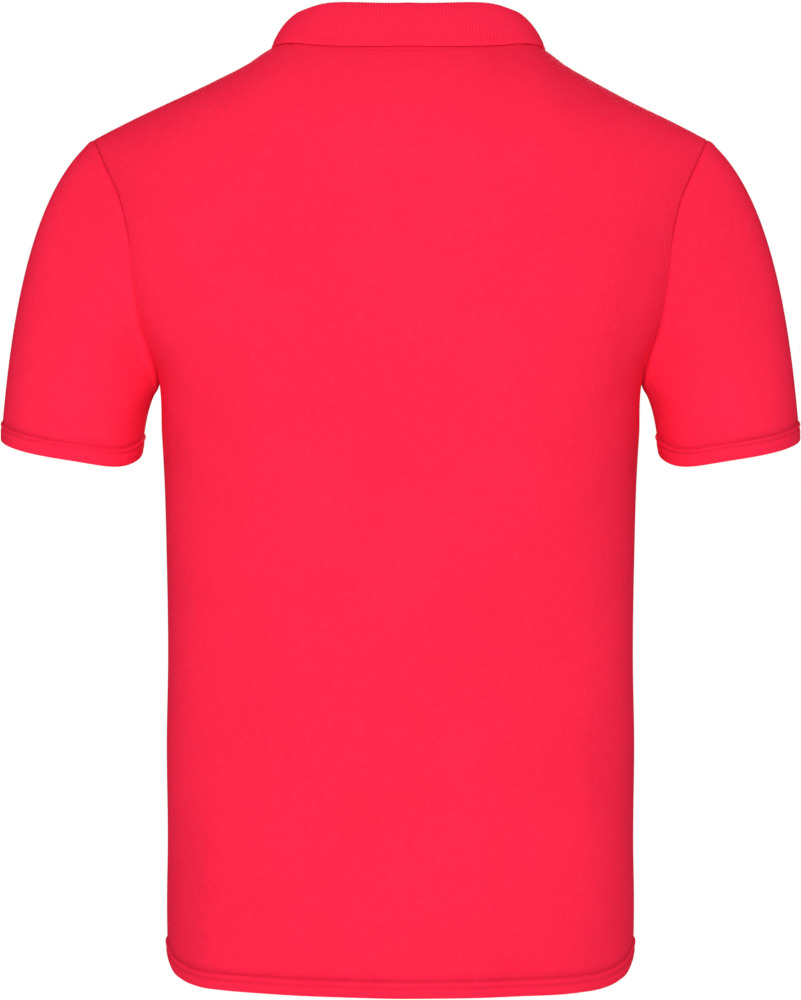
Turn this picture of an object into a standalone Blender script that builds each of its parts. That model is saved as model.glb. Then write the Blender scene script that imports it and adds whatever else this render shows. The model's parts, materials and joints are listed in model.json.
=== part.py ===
"""Pique polo shirt with short sleeves, filled out and hollow, as worn.

Metres, +Z up. The back faces +Y and the front -Y, so +X is the wearer's left. The origin is the middle of the
neck opening, level with the high shoulder points. Every wall is worked out from the sizes and tables below.
"""

import math

import bmesh
import bpy
import numpy as np
from mathutils import Matrix

# Cloth
CLOTH = 0.0013
HEM_CLOTH = 0.0024
COLLAR_CLOTH = 0.0017
SEAM_GAP = 0.0004

# Body
FULLNESS = 2.3
SHOULDER_ROUNDNESS = 2.2
BACK_ROUND_HEIGHT = 0.140
FRONT_ROUND_HEIGHT = 0.170
UNDERARM_Z = -0.264
YOKE_Z = -0.300
HEM_TILT = 0.0016
HEM_BAND = 0.018
HEM_STEP = 0.0015
LOWER_ROWS = 7
UPPER_ROWS = 11

# Neck and shoulders
NECK_X = -0.006
NECK_HALF_WIDTH = 0.092
BACK_NECK_Z = -0.0035
SHOULDER_LEAN = 0.006
LEAN_FROM = 0.185
LEAN_OVER = 0.095
FRONT_NECK_Z = -0.085
SHOULDER_TIP_X = 0.2385
ARMHOLE_COLUMNS = 10
ARMHOLE_APPROACH = 0.12
APPROACH_DEPTH = 0.012
ARMHOLE_SHARE = 0.66
ARMHOLE_BUNCHING = 0.12
SHOULDER_COLUMNS = 4
NECK_COLUMNS = 6

# Sleeves
SLEEVE_ROWS = 9
CUFF_OUTER = (0.3126, -0.3045)
CUFF_INNER = (0.2024, -0.3163)
CUFF_Y = -0.012
CUFF_HALF_DEPTH = 0.054
CUFF_BACK_DROP = 0.213
CUFF_DROOP = 0.0048
CUFF_DROOP_TURN = 137.0
ARMHOLE_HANDLE = 0.28
CUFF_HANDLE = 0.30
ARMHOLE_REACH = 0.06

# Collar
RIBS = 200
RIB_HEIGHT = 0.0004
COARSE_STEP = 8
FOLD_RADIUS = 0.0024
COLLAR_RISE = 0.0012
COLLAR_END = 177.0
LEAF_CLEARANCE = 0.0028

# Placket and buttons
PLACKET_HALF_WIDTH = 0.016
PLACKET_LAP = 0.0012
PLACKET_ROWS = 4
PLACKET_BELOW = 0.004
COLLAR_ROOM = 0.0032
BAND_CLOTH = 0.0016
BUTTON_RADIUS = 0.0057
BUTTON_THICKNESS = 0.0026
BUTTON_HOLE_RADIUS = 0.0009
BUTTON_HOLE_SPREAD = 0.0015
BUTTON_HEIGHTS = (-0.112, -0.157, -0.202)

# Rings round the body. The rows above the underarm also round out the armholes and the shoulders.
BODY = (
    # height, half_width, back_depth, front_depth
    (-0.724, 0.1808, 0.1260, 0.1270),
    (-0.665, 0.1818, 0.1235, 0.1255),
    (-0.620, 0.1812, 0.1205, 0.1250),
    (-0.540, 0.1820, 0.1155, 0.1250),
    (-0.475, 0.1810, 0.1135, 0.1270),
    (-0.400, 0.1820, 0.1165, 0.1300),
    (-0.337, 0.1838, 0.1210, 0.1330),
    (-0.300, 0.1858, 0.1225, 0.1350),
    (-0.264, 0.1876, 0.1235, 0.1360),
    (-0.254, 0.1895, 0.1235, 0.1357),
    (-0.238, 0.1980, 0.1235, 0.1345),
    (-0.223, 0.2068, 0.1233, 0.1330),
    (-0.203, 0.2160, 0.1230, 0.1300),
    (-0.182, 0.2225, 0.1225, 0.1260),
    (-0.161, 0.2270, 0.1215, 0.1210),
    (-0.140, 0.2315, 0.1200, 0.1145),
    (-0.118, 0.2385, 0.1175, 0.1080),
    (-0.097, 0.2490, 0.1150, 0.1010),
    (-0.072, 0.2620, 0.1115, 0.0935),
    (-0.040, 0.2700, 0.1060, 0.0840),
    (0.013, 0.2750, 0.0960, 0.0700),
)

SHOULDER_LINE = (
    # distance_out, height
    (0.000, 0.0130),
    (0.040, 0.0122),
    (0.070, 0.0096),
    (0.094, 0.0046),
    (0.108, -0.0026),
    (0.118, -0.0104),
    (0.145, -0.0258),
    (0.177, -0.0420),
    (0.208, -0.0566),
    (0.2385, -0.0718),
    (0.275, -0.0920),
)

ARMHOLE = (
    # height, back_x, front_x
    (-0.264, 0.1876, 0.1876),
    (-0.254, 0.1885, 0.1880),
    (-0.238, 0.1935, 0.1900),
    (-0.223, 0.1981, 0.1925),
    (-0.203, 0.2018, 0.1950),
    (-0.182, 0.2048, 0.1970),
    (-0.161, 0.2070, 0.1992),
    (-0.140, 0.2108, 0.2035),
    (-0.118, 0.2173, 0.2115),
    (-0.097, 0.2270, 0.2230),
    (-0.0718, 0.2385, 0.2385),
)

# The hem's height by how far out it is, from the middle to the side seams.
HEM = (
    # fraction_out, height
    (0.00, -0.7245),
    (0.50, -0.7241),
    (0.75, -0.7237),
    (0.85, -0.7227),
    (0.92, -0.7197),
    (0.97, -0.7143),
    (0.99, -0.7088),
    (1.00, -0.7050),
)

# Soft folds and fullness of the filled cloth: side is 1 on the back and -1 on the front.
FOLDS = (
    # side, x, top, bottom, half_width, height
    (1, 0.137, -0.035, -0.225, 0.038, 0.0032),
    (1, -0.121, -0.030, -0.215, 0.038, 0.0032),
    (1, 0.092, -0.060, -0.250, 0.017, -0.0020),
    (1, -0.064, -0.070, -0.270, 0.020, -0.0015),
    (1, -0.070, -0.210, -0.440, 0.034, 0.0026),
    (1, 0.110, -0.260, -0.450, 0.030, 0.0020),
    (1, 0.006, -0.380, -0.900, 0.030, 0.0026),
    (1, 0.114, -0.400, -0.900, 0.022, -0.0024),
    (1, -0.088, -0.520, -0.900, 0.024, -0.0026),
    (-1, 0.085, -0.110, -0.330, 0.050, 0.0040),
    (-1, -0.085, -0.115, -0.330, 0.050, 0.0036),
    (-1, 0.118, -0.330, -0.900, 0.024, -0.0032),
    (-1, -0.104, -0.360, -0.900, 0.022, -0.0030),
    (-1, 0.038, -0.420, -0.900, 0.028, 0.0028),
    (-1, -0.046, -0.400, -0.900, 0.026, 0.0024),
)

# The folded collar, by degrees round the neck from the middle of the back.
COLLAR = (
    # angle, stand_rise, fold_lean, edge_out, edge_drop, edge_slide
    (0, 0.0296, -0.0030, 0.0110, 0.0045, 0.0000),
    (45, 0.0265, -0.0045, 0.0125, 0.0040, 0.0000),
    (65, 0.0200, -0.0052, 0.0135, 0.0040, 0.0000),
    (90, 0.0155, -0.0060, 0.0145, 0.0042, 0.0000),
    (120, 0.0180, -0.0030, 0.0120, 0.0130, 0.0130),
    (150, 0.0190, 0.0000, 0.0080, 0.0060, 0.0350),
    (180, 0.0190, 0.0010, 0.0050, 0.0180, 0.0540),
)

MATERIALS = {
    # name: sRGB colour, roughness
    "pique": ((248, 42, 76), 0.85),
    "rib_knit": ((246, 46, 77), 0.88),
    "button": ((226, 34, 62), 0.35),
}


def column(table, number):
    return [row[number] for row in table]


def curve_through(knots, values):
    """A smooth function through the values, its slope at each knot taken from the neighbours."""
    knots, values = np.array(knots, float), np.array(values, float)
    slopes = np.gradient(values, knots)

    def at(where):
        where = min(max(where, knots[0]), knots[-1])
        k = min(int(np.searchsorted(knots, where, side="right")) - 1, len(knots) - 2)
        span = knots[k + 1] - knots[k]
        s = (where - knots[k]) / span
        start = (1 + 2 * s) * (1 - s) ** 2 * values[k] + s * (1 - s) ** 2 * span * slopes[k]
        end = s * s * (3 - 2 * s) * values[k + 1] - s * s * (1 - s) * span * slopes[k + 1]
        return start + end

    return at


half_width = curve_through(column(BODY, 0), column(BODY, 1))
back_depth = curve_through(column(BODY, 0), column(BODY, 2))
front_depth = curve_through(column(BODY, 0), column(BODY, 3))
shoulder_height = curve_through(column(SHOULDER_LINE, 0), column(SHOULDER_LINE, 1))
hem_line = curve_through(column(HEM, 0), column(HEM, 1))
armhole_back = curve_through(column(ARMHOLE, 0), column(ARMHOLE, 1))
armhole_front = curve_through(column(ARMHOLE, 0), column(ARMHOLE, 2))
stand_rise, fold_lean, edge_out, edge_drop, edge_slide = (
    curve_through(column(COLLAR, 0), column(COLLAR, number)) for number in range(1, 6)
)


def unit(vector):
    vector = np.array(vector, float)
    return vector / np.linalg.norm(vector)


def fold_height(side, x, z):
    """How far the soft folds stand out at a place on the back or the front."""
    total = 0.0
    for fold_side, fold_x, top, bottom, width, height in FOLDS:
        if fold_side == side and bottom < z < top:
            along = math.sin(math.pi * (z - bottom) / (top - bottom)) ** 1.5
            total += height * along * math.exp(-(((x - fold_x) / width) ** 2))
    return total


def shoulder_at(x):
    """The shoulder line's height at x. Near the neck it leans to the wearer's right, as the neck does."""
    lean = SHOULDER_LEAN * min(max((LEAN_FROM - abs(x)) / LEAN_OVER, 0.0), 1.0)
    return shoulder_height(abs(x + lean))


def body_point(side, x, z, gap=0.0):
    """The outer side of the back or the front at x and z. It rounds over towards the shoulder line."""
    depth = back_depth(z) if side > 0 else front_depth(z)
    round_height = BACK_ROUND_HEIGHT if side > 0 else FRONT_ROUND_HEIGHT
    across = min(abs(x) / half_width(z), 1.0)
    around = (1 - across**FULLNESS) ** (1 / FULLNESS)
    below = min(max((shoulder_at(x) - z) / round_height, 0.0), 1.0)
    over = (1 - (1 - below) ** SHOULDER_ROUNDNESS) ** (1 / SHOULDER_ROUNDNESS)
    y = depth * around * over + fold_height(side, x, z) * around * over
    return np.array((x, side * (y + gap), z))


def neck_place(side, angle):
    """The x and z of the neck seam at an angle in degrees from the middle of its side."""
    out = math.sin(math.radians(angle))
    middle, power = (BACK_NECK_Z, 2.2) if side > 0 else (FRONT_NECK_Z, 2.4)
    x = NECK_X + NECK_HALF_WIDTH * out
    top = shoulder_at(NECK_X + math.copysign(NECK_HALF_WIDTH, out))
    return x, middle + (top - middle) * abs(out) ** power


def armhole_places(side, columns):
    """The x and z of the armhole seam, from the underarm to the shoulder tip, at even steps along it."""
    seam_x = armhole_back if side > 0 else armhole_front
    steps = (np.linspace(0, 1, 400) ** 2) * (3 - 2 * np.linspace(0, 1, 400))
    heights = UNDERARM_Z + (ARMHOLE[-1][0] - UNDERARM_Z) * steps
    places = np.array([(seam_x(z), z) for z in heights])
    points = np.array([body_point(side, x, z) for x, z in places])
    run = np.concatenate([[0], np.cumsum(np.linalg.norm(np.diff(points, axis=0), axis=1))])
    even = np.linspace(0, run[-1], columns + 1)
    return [(np.interp(r, run, places[:, 0]), np.interp(r, run, places[:, 1])) for r in even]


def shoulder_places(sign):
    """The x and z of the shoulder seam, from the tip in to the neck."""
    neck_x = NECK_X + sign * NECK_HALF_WIDTH
    xs = np.linspace(sign * SHOULDER_TIP_X, neck_x, SHOULDER_COLUMNS + 1)
    return [(x, shoulder_at(x)) for x in xs]


def neck_angles(side):
    """Even steps on the back. The front leaves out the placket, whose edges are two of its columns."""
    if side > 0:
        return list(np.linspace(90, -90, 2 * NECK_COLUMNS + 1))
    edge = math.degrees(math.asin(PLACKET_HALF_WIDTH / NECK_HALF_WIDTH))
    half = list(np.linspace(90, edge, NECK_COLUMNS + 1))
    return half + [-angle for angle in reversed(half)]


def top_places(side):
    """The top of each column of a panel: up one armhole, over the shoulders and round the neck."""
    armhole = armhole_places(side, ARMHOLE_COLUMNS)
    neck = [neck_place(side, angle) for angle in neck_angles(side)]
    left = armhole + shoulder_places(1)[1:]
    right = [(-x, z) for x, z in armhole] + shoulder_places(-1)[1:]
    return left + neck[1:-1] + right[::-1]


def yoke_fractions(side):
    """How far out each column lies at the height where the armholes begin to shape it."""
    neck = [NECK_X + NECK_HALF_WIDTH * math.sin(math.radians(a)) for a in neck_angles(side)]
    width = half_width(YOKE_Z)
    beyond = [max(0.0, abs(x - NECK_X) - PLACKET_HALF_WIDTH) / NECK_HALF_WIDTH for x in neck]
    inner = [(x - 0.25 * (x - NECK_X) * b) / width for x, b in zip(neck, beyond)]
    bend = math.acos(ARMHOLE_SHARE ** (FULLNESS / 2))
    bends = [bend * k / ARMHOLE_COLUMNS for k in range(ARMHOLE_COLUMNS + 1)]
    armhole = [math.cos(b) ** (2 / FULLNESS) for b in bends]
    left = list(np.linspace(armhole[-1], inner[0], SHOULDER_COLUMNS + 1))[1:]
    right = list(np.linspace(armhole[-1], -inner[-1], SHOULDER_COLUMNS + 1))[1:]
    return armhole + left + inner[1:-1] + [-f for f in (armhole + right)[::-1]]


def hem_height(fraction):
    return hem_line(abs(fraction)) + HEM_TILT * fraction * (1 - fraction**4)


def angle_of(fraction):
    """The angle round the body's ring at a fraction of its half width."""
    return math.acos(min(abs(fraction), 1.0) ** (FULLNESS / 2))


def panel_column(side, top, fraction, armhole_column):
    """One column of a panel, from the hem up to its top."""
    hem = hem_height(fraction)
    heights = [hem, hem + HEM_BAND, hem + HEM_BAND + HEM_STEP]
    heights += list(np.linspace(heights[-1], YOKE_Z, LOWER_ROWS + 1)[1:])
    places = [(fraction * half_width(z), z) for z in heights]
    top_x, top_z = top
    sign = math.copysign(1.0, fraction)
    beyond = (abs(top_x - NECK_X) - PLACKET_HALF_WIDTH) / (NECK_HALF_WIDTH - PLACKET_HALF_WIDTH)
    bunch = 1.0 if side > 0 else min(max(beyond, 0.0), 1.0)
    bunch = min(bunch, max(0.0, (top_z - UNDERARM_Z) / ARMHOLE_BUNCHING))
    start_angle, end_angle = angle_of(fraction), angle_of(top_x / half_width(top_z))
    seam_x = armhole_back if side > 0 else armhole_front
    for t in np.linspace(0, 1, UPPER_ROWS + 1)[1:]:
        rise = (1 - bunch) * t + bunch * math.sin(math.pi * t / 2)
        z = YOKE_Z + (top_z - YOKE_Z) * rise
        spread = t * t
        if armhole_column:
            bend = start_angle + (end_angle - start_angle) * spread
            x = half_width(z) * math.cos(bend) ** (2 / FULLNESS)
            if abs(fraction) < 1:
                x = min(x, seam_x(z) - ARMHOLE_APPROACH * min(top_z - z, APPROACH_DEPTH))
            x *= sign
        else:
            x = fraction * half_width(YOKE_Z) + (top_x - fraction * half_width(YOKE_Z)) * spread
        places.append((x, z))
    return [body_point(side, x, z, SEAM_GAP / 2) for x, z in places]


def grid_normals(grid, outwards, closed=False):
    """Unit normals of a grid of points, turned to the side that outwards gives."""
    if closed:
        around = np.roll(grid, -1, axis=1) - np.roll(grid, 1, axis=1)
    else:
        around = np.gradient(grid, axis=1)
    normals = np.cross(np.gradient(grid, axis=0), around)
    normals /= np.maximum(np.linalg.norm(normals, axis=2, keepdims=True), 1e-12)
    flip = np.sign(np.sum(normals * outwards, axis=2, keepdims=True))
    return normals * np.where(flip == 0, 1, flip)


def panel(side):
    """The points and normals of the back or the front, as rows of columns."""
    tops, fractions = top_places(side), yoke_fractions(side)
    last = len(tops) - 1
    columns = []
    for k, (top, fraction) in enumerate(zip(tops, fractions)):
        by_armhole = min(k, last - k) <= ARMHOLE_COLUMNS
        columns.append(panel_column(side, top, fraction, by_armhole))
    grid = np.array(columns).transpose(1, 0, 2)
    outwards = grid * (1, 1, 0) + (0, 0, 0.08)
    normals = grid_normals(grid, outwards)
    for k, sign in ((0, 1), (last, -1)):
        normals[:, k] = (sign, 0, 0)
    shoulder = range(ARMHOLE_COLUMNS, ARMHOLE_COLUMNS + SHOULDER_COLUMNS + 1)
    for k in list(shoulder) + [last - k for k in shoulder]:
        x = grid[-1, k, 0]
        slope = (shoulder_at(x + 0.005) - shoulder_at(x - 0.005)) / 0.01
        normals[-1, k] = unit((-slope, 0, 1))
    return grid, normals


def sleeve_loop(panels, sign):
    """The armhole's points and normals, from the shoulder tip down the back and up the front."""
    loops = []
    for side in (1, -1):
        grid, normals = panels[side]
        row = range(ARMHOLE_COLUMNS, -1, -1)
        picked = [k if sign > 0 else grid.shape[1] - 1 - k for k in row]
        loops.append([(grid[-1, k] - (0, side * SEAM_GAP / 2, 0), normals[-1, k]) for k in picked])
    loop = loops[0] + loops[1][-2:0:-1]
    return np.array([p for p, n in loop]), np.array([n for p, n in loop])


def sleeve(panels, sign):
    """The points and normals of one sleeve, as rings from the armhole to the cuff."""
    seam, panel_normals = sleeve_loop(panels, sign)
    count = len(seam)
    mirror = np.array((sign, 1, 1))
    seam, panel_normals = seam * mirror, panel_normals * mirror
    outer = np.array((CUFF_OUTER[0], CUFF_Y, CUFF_OUTER[1]))
    inner = np.array((CUFF_INNER[0], CUFF_Y, CUFF_INNER[1]))
    middle, out_axis = (outer + inner) / 2, (outer - inner) / 2
    back_axis = CUFF_HALF_DEPTH * unit((0, 1, -CUFF_BACK_DROP))
    down = -unit(np.cross(out_axis, back_axis))
    hollow = seam.mean(axis=0) + (ARMHOLE_REACH, 0, 0)
    columns = []
    for k in range(count):
        turn = 2 * math.pi * k / count
        leave = unit((0.70 + 0.09 * math.cos(turn), -0.12 * math.sin(turn), -0.70 + 0.08 * math.cos(turn)))
        away = np.cross(seam[(k + 1) % count] - seam[k - 1], panel_normals[k])
        away = unit(away) * (1 if away @ (hollow - seam[k]) > 0 else -1)
        start = seam[k] + SEAM_GAP * unit(away + 0.35 * panel_normals[k])
        droop = CUFF_DROOP * math.exp(-(((math.degrees(turn) - CUFF_DROOP_TURN) / 32) ** 2))
        end = middle + out_axis * math.cos(turn) + back_axis * math.sin(turn) - (0, 0, droop)
        length = np.linalg.norm(end - start)
        handles = (start, start + ARMHOLE_HANDLE * length * leave, end - CUFF_HANDLE * length * down, end)
        band = 1 - HEM_BAND / length
        steps = list(np.linspace(0, band - HEM_STEP / length, SLEEVE_ROWS + 1)) + [band, 1.0]
        columns.append([bezier(handles, s) for s in steps])
    grid = np.array(columns).transpose(1, 0, 2)
    centres = grid.mean(axis=1, keepdims=True)
    normals = grid_normals(grid, grid - centres, closed=True)
    return grid * mirror, normals * mirror


def bezier(handles, s):
    a, b, c, d = handles
    return (1 - s) ** 3 * a + 3 * s * (1 - s) ** 2 * b + 3 * s * s * (1 - s) * c + s**3 * d


def share_armhole_normals(panels, sleeves):
    """Gives each armhole seam one direction for its edges, so that the walls on both sides stay apart."""
    for sign, (grid, normals) in sleeves.items():
        count = grid.shape[1]
        for k in range(count):
            side = 1 if k <= ARMHOLE_COLUMNS else -1
            step = ARMHOLE_COLUMNS - (k if side > 0 else count - k)
            for each in (1, -1) if k in (0, ARMHOLE_COLUMNS) else (side,):
                panel_grid, panel_normals = panels[each]
                at = step if sign > 0 else panel_grid.shape[1] - 1 - step
                both = panel_normals[-1, at] + normals[0, k]
                if k in (0, ARMHOLE_COLUMNS):
                    both[1] = 0
                panel_normals[-1, at] = unit(both)
            at = step if sign > 0 else panels[side][0].shape[1] - 1 - step
            normals[0, k] = panels[side][1][-1, at]


def material(name):
    colour, roughness = MATERIALS[name]
    made = bpy.data.materials.get(name) or bpy.data.materials.new(name)
    made.use_nodes = True
    shader = made.node_tree.nodes["Principled BSDF"]
    linear = [((c / 255 + 0.055) / 1.055) ** 2.4 for c in colour]
    shader.inputs["Base Color"].default_value = (*linear, 1)
    shader.inputs["Roughness"].default_value = roughness
    shader.inputs["Metallic"].default_value = 0
    return made


def make_object(name, points, faces, material_name):
    mesh = bpy.data.meshes.new(name)
    mesh.from_pydata([tuple(map(float, p)) for p in points], [], faces)
    shape = bmesh.new()
    shape.from_mesh(mesh)
    bmesh.ops.recalc_face_normals(shape, faces=shape.faces)
    shape.to_mesh(mesh)
    shape.free()
    mesh.shade_smooth()
    mesh.set_sharp_from_angle(angle=math.radians(40))
    mesh.materials.append(material(material_name))
    made = bpy.data.objects.new(name, mesh)
    bpy.context.scene.collection.objects.link(made)
    return made


def wall(name, grid, inner, material_name, closed=False, left_out=()):
    """A closed wall between two like grids of points. The cells left out make a notch or a hole in it."""
    rows, columns = grid.shape[:2]
    across = columns if closed else columns - 1
    cells = {(r, c) for r in range(rows - 1) for c in range(across)} - set(left_out)

    def corner(r, c, layer):
        return layer * rows * columns + r * columns + c % columns

    faces = []
    for r, c in sorted(cells):
        ring = ((r, c), (r, c + 1), (r + 1, c + 1), (r + 1, c))
        faces.append([corner(*p, 0) for p in ring])
        faces.append([corner(*p, 1) for p in reversed(ring)])
        beyond = ((r - 1, c), (r, c + 1), (r + 1, c), (r, c - 1))
        for k, (near_r, near_c) in enumerate(beyond):
            near = (near_r, near_c % columns if closed else near_c)
            if near not in cells:
                a, b = ring[k], ring[(k + 1) % 4]
                faces.append([corner(*b, 0), corner(*a, 0), corner(*a, 1), corner(*b, 1)])
    used = sorted({index for face in faces for index in face})
    renumber = {old: new for new, old in enumerate(used)}
    points = np.concatenate([grid.reshape(-1, 3), inner.reshape(-1, 3)])[used]
    return make_object(name, points, [[renumber[i] for i in face] for face in faces], material_name)


def panel_thickness(rows, hem_rows):
    """The wall's thickness row by row: double where the hem is turned up."""
    return np.array([HEM_CLOTH if r in hem_rows else CLOTH for r in range(rows)])[:, None, None]


def make_body():
    panels = {side: panel(side) for side in (1, -1)}
    sleeves = {sign: sleeve(panels, sign) for sign in (1, -1)}
    share_armhole_normals(panels, sleeves)
    rows, columns = panels[-1][0].shape[:2]
    thickness = panel_thickness(rows, (0, 1))
    first = rows - 1 - UPPER_ROWS + PLACKET_ROWS
    middle = columns // 2 - 1
    slit = [(r, middle) for r in range(first, rows - 1)]
    for side, name, left_out in ((1, "back", ()), (-1, "front", slit)):
        grid, normals = panels[side]
        wall(name, grid, grid - normals * thickness, "pique", left_out=left_out)
    for sign, name in ((1, "sleeve_left"), (-1, "sleeve_right")):
        grid, normals = sleeves[sign]
        thickness = panel_thickness(grid.shape[0], (grid.shape[0] - 2, grid.shape[0] - 1))
        wall(name, grid, grid - normals * thickness, "pique", closed=True)
    grid = panels[-1][0]
    return [float(z) for z in grid[first:, middle, 2]]


def neck_ring(angle):
    """The neck seam's point at an angle in degrees from the middle of the back, and the way out from it."""
    side = 1 if abs(angle) <= 90 else -1
    turn = angle if side > 0 else math.copysign(180 - abs(angle), angle)
    point = body_point(side, *neck_place(side, turn))
    out = unit((math.sin(math.radians(angle)), math.cos(math.radians(angle)), 0))
    return point, out


def collar_line(angle):
    """The middle of the collar's cloth at an angle: neck seam, fold and edge, and the way out."""
    size = abs(angle)
    seam, out = neck_ring(angle)
    along = unit(neck_ring(angle + 1)[0] - neck_ring(angle - 1)[0])
    up = np.array((0, 0, 1.0))
    seam = seam + COLLAR_RISE * unit(up - (up @ along) * along)
    fold = seam + out * fold_lean(size) + (0, 0, stand_rise(size))
    edge = seam + out * edge_out(size) + (math.copysign(edge_slide(size), angle), 0, -edge_drop(size))
    return seam, fold, edge, out


def collar_section(angle, raised):
    """The collar's two faces in one section: up the stand, over the fold and down the leaf."""
    seam, fold, edge, out = collar_line(angle)
    centre = fold + out * FOLD_RADIUS - (0, 0, FOLD_RADIUS)
    half = COLLAR_CLOTH / 2
    stand_top = centre - out * FOLD_RADIUS
    leaf_top = centre + out * FOLD_RADIUS
    leaf_middle = on_chest((leaf_top + edge) / 2 + out * 0.001, 0.5)
    edge = on_chest(edge, 1.0)
    up = np.array((0, 0, 1.0))
    arc = [centre + FOLD_RADIUS * (math.sin(t) * out + math.cos(t) * up) for t in (-0.6, 0.6)]
    line = [seam, stand_top, *arc, leaf_top, leaf_middle, edge]
    turned = unit(np.cross(np.cross(edge - leaf_top, out), edge - leaf_top))
    turned = turned if turned @ (out + 0.3 * up) > 0 else -turned
    faces_out = [-out, -out, *(unit(p - centre) for p in arc), unit(out + turned), turned, turned]
    ridge = half + (RIB_HEIGHT if raised else 0)
    convex = [p + n * ridge for p, n in zip(line, faces_out)]
    concave = [p - n * half for p, n in zip(line, faces_out)]
    return convex, concave


def on_chest(point, share):
    """Moves a point of a leaf out of the front, so that the leaf lies over the cloth under it."""
    x, y, z = point
    chest = body_point(-1, x, z)[1] - LEAF_CLEARANCE - COLLAR_CLOTH * share
    if z < shoulder_at(x) and y < 0:
        return np.array((x, min(y, chest), z))
    return point


def make_collar():
    """One strip of rib knit. Its ribs stand on the side that shows, and its hidden side is plain."""
    columns = 2 * RIBS
    angles = np.linspace(COLLAR_END, -COLLAR_END, columns + 1)
    sections = [collar_section(angle, k % 2 == 1) for k, angle in enumerate(angles)]
    rows = len(sections[0][0])
    points, faces = [], []
    for convex, _ in sections:
        points += convex
    hidden = {}
    for k in range(0, columns + 1, COARSE_STEP):
        hidden[k] = len(points)
        points += sections[k][1]
    for k in range(columns):
        for r in range(rows - 1):
            a, b = k * rows + r, (k + 1) * rows + r
            faces.append([a, b, b + 1, a + 1])
    for k in range(0, columns, COARSE_STEP):
        a, b = hidden[k], hidden[k + COARSE_STEP]
        faces += [[a + r, a + r + 1, b + r + 1, b + r] for r in range(rows - 1)]
        half = COARSE_STEP // 2
        for r in (0, rows - 1):
            fine = [(k + step) * rows + r for step in range(COARSE_STEP + 1)]
            faces += [[fine[s + 1], fine[s], a + r] for s in range(half)]
            faces += [[fine[s + 1], fine[s], b + r] for s in range(half, COARSE_STEP)]
            faces.append([fine[half], a + r, b + r])
    for k in (0, columns):
        fine, rough = k * rows, hidden[k]
        faces += [[fine + r, fine + r + 1, rough + r + 1, rough + r] for r in range(rows - 1)]
    make_object("collar", points, faces, "rib_knit")


def band(name, left, right, heights, moved_out, thickness):
    """A placket band: points of the front between two edges, moved out."""
    grid = np.array([[body_point(-1, x, z) for x in np.linspace(left, right, 5)] for z in heights])
    normals = grid_normals(grid, np.broadcast_to((0, -1.0, 0), grid.shape))
    outer = grid + normals * moved_out
    wall(name, outer, outer - normals * thickness, "pique")


def make_placket(slit_heights):
    left, right = NECK_X + PLACKET_HALF_WIDTH, NECK_X - PLACKET_HALF_WIDTH
    bottom, top = slit_heights[0], slit_heights[-1]
    under = np.linspace(bottom + SEAM_GAP, top - SEAM_GAP, 9)
    band("placket_under", left - SEAM_GAP, right + SEAM_GAP, under, 0.0, BAND_CLOTH)
    over = np.linspace(bottom - PLACKET_BELOW, top - COLLAR_ROOM, 9)
    lifted = 1.8 * SEAM_GAP + BAND_CLOTH
    band("placket_upper", left + PLACKET_LAP, right - PLACKET_LAP, over, lifted, BAND_CLOTH)


def make_button(name, height):
    """A four-hole button with a raised rim, lying on the upper band."""
    here = body_point(-1, NECK_X, height)
    above = body_point(-1, NECK_X, height + 0.004)
    facing = unit(np.cross((1, 0, 0), above - here))
    facing = facing if facing[1] < 0 else -facing
    base = here + facing * (2.6 * SEAM_GAP + BAND_CLOTH)
    rim = BUTTON_RADIUS
    profile = (
        # radius, height
        (0.0, 0.0),
        (rim - 0.0010, 0.0),
        (rim, 0.0007),
        (rim, BUTTON_THICKNESS - 0.0006),
        (rim - 0.0007, BUTTON_THICKNESS),
        (rim - 0.0014, BUTTON_THICKNESS - 0.0005),
        (0.0, BUTTON_THICKNESS - 0.0007),
    )
    points, faces = turned(profile, 20)
    button = make_object(name, points, faces, "button")
    r = BUTTON_HOLE_RADIUS
    hole_points, hole_faces = turned(((0, -0.001), (r, -0.001), (r, 0.004), (0, 0.004)), 6)
    holes = []
    for quarter in range(4):
        turn = math.radians(45 + 90 * quarter)
        shift = BUTTON_HOLE_SPREAD * np.array((math.cos(turn), math.sin(turn), 0))
        hole = make_object(f"{name}_hole_{quarter}", hole_points + shift, hole_faces, "button")
        hole.hide_render = True
        hole.display_type = "WIRE"
        cut = button.modifiers.new(f"hole_{quarter}", "BOOLEAN")
        cut.operation = "DIFFERENCE"
        cut.object = hole
        holes.append(hole)
    across = np.array((1.0, 0, 0))
    frame = np.column_stack((across, np.cross(facing, across), facing))
    for piece in (button, *holes):
        place = np.eye(4)
        place[:3, :3], place[:3, 3] = frame, base
        piece.matrix_world = Matrix(place.tolist())


def turned(profile, sides):
    """A profile of radius and height turned round the Z axis. It starts and ends on the axis."""
    points, faces = [(0, 0, profile[0][1])], []
    rings = profile[1:-1]
    for radius, height in rings:
        for k in range(sides):
            turn = 2 * math.pi * k / sides
            points.append((radius * math.cos(turn), radius * math.sin(turn), height))
    points.append((0, 0, profile[-1][1]))
    for k in range(sides):
        after = (k + 1) % sides
        faces.append([0, 1 + after, 1 + k])
        for r in range(len(rings) - 1):
            low, high = 1 + r * sides, 1 + (r + 1) * sides
            faces.append([low + k, low + after, high + after, high + k])
        last = 1 + (len(rings) - 1) * sides
        faces.append([last + k, last + after, len(points) - 1])
    return np.array(points), faces


def main():
    for old in list(bpy.data.objects):
        bpy.data.objects.remove(old)
    slit_heights = make_body()
    make_collar()
    make_placket(slit_heights)
    for number, height in enumerate(BUTTON_HEIGHTS, start=1):
        make_button(f"button_{number}", height)


main()
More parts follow.
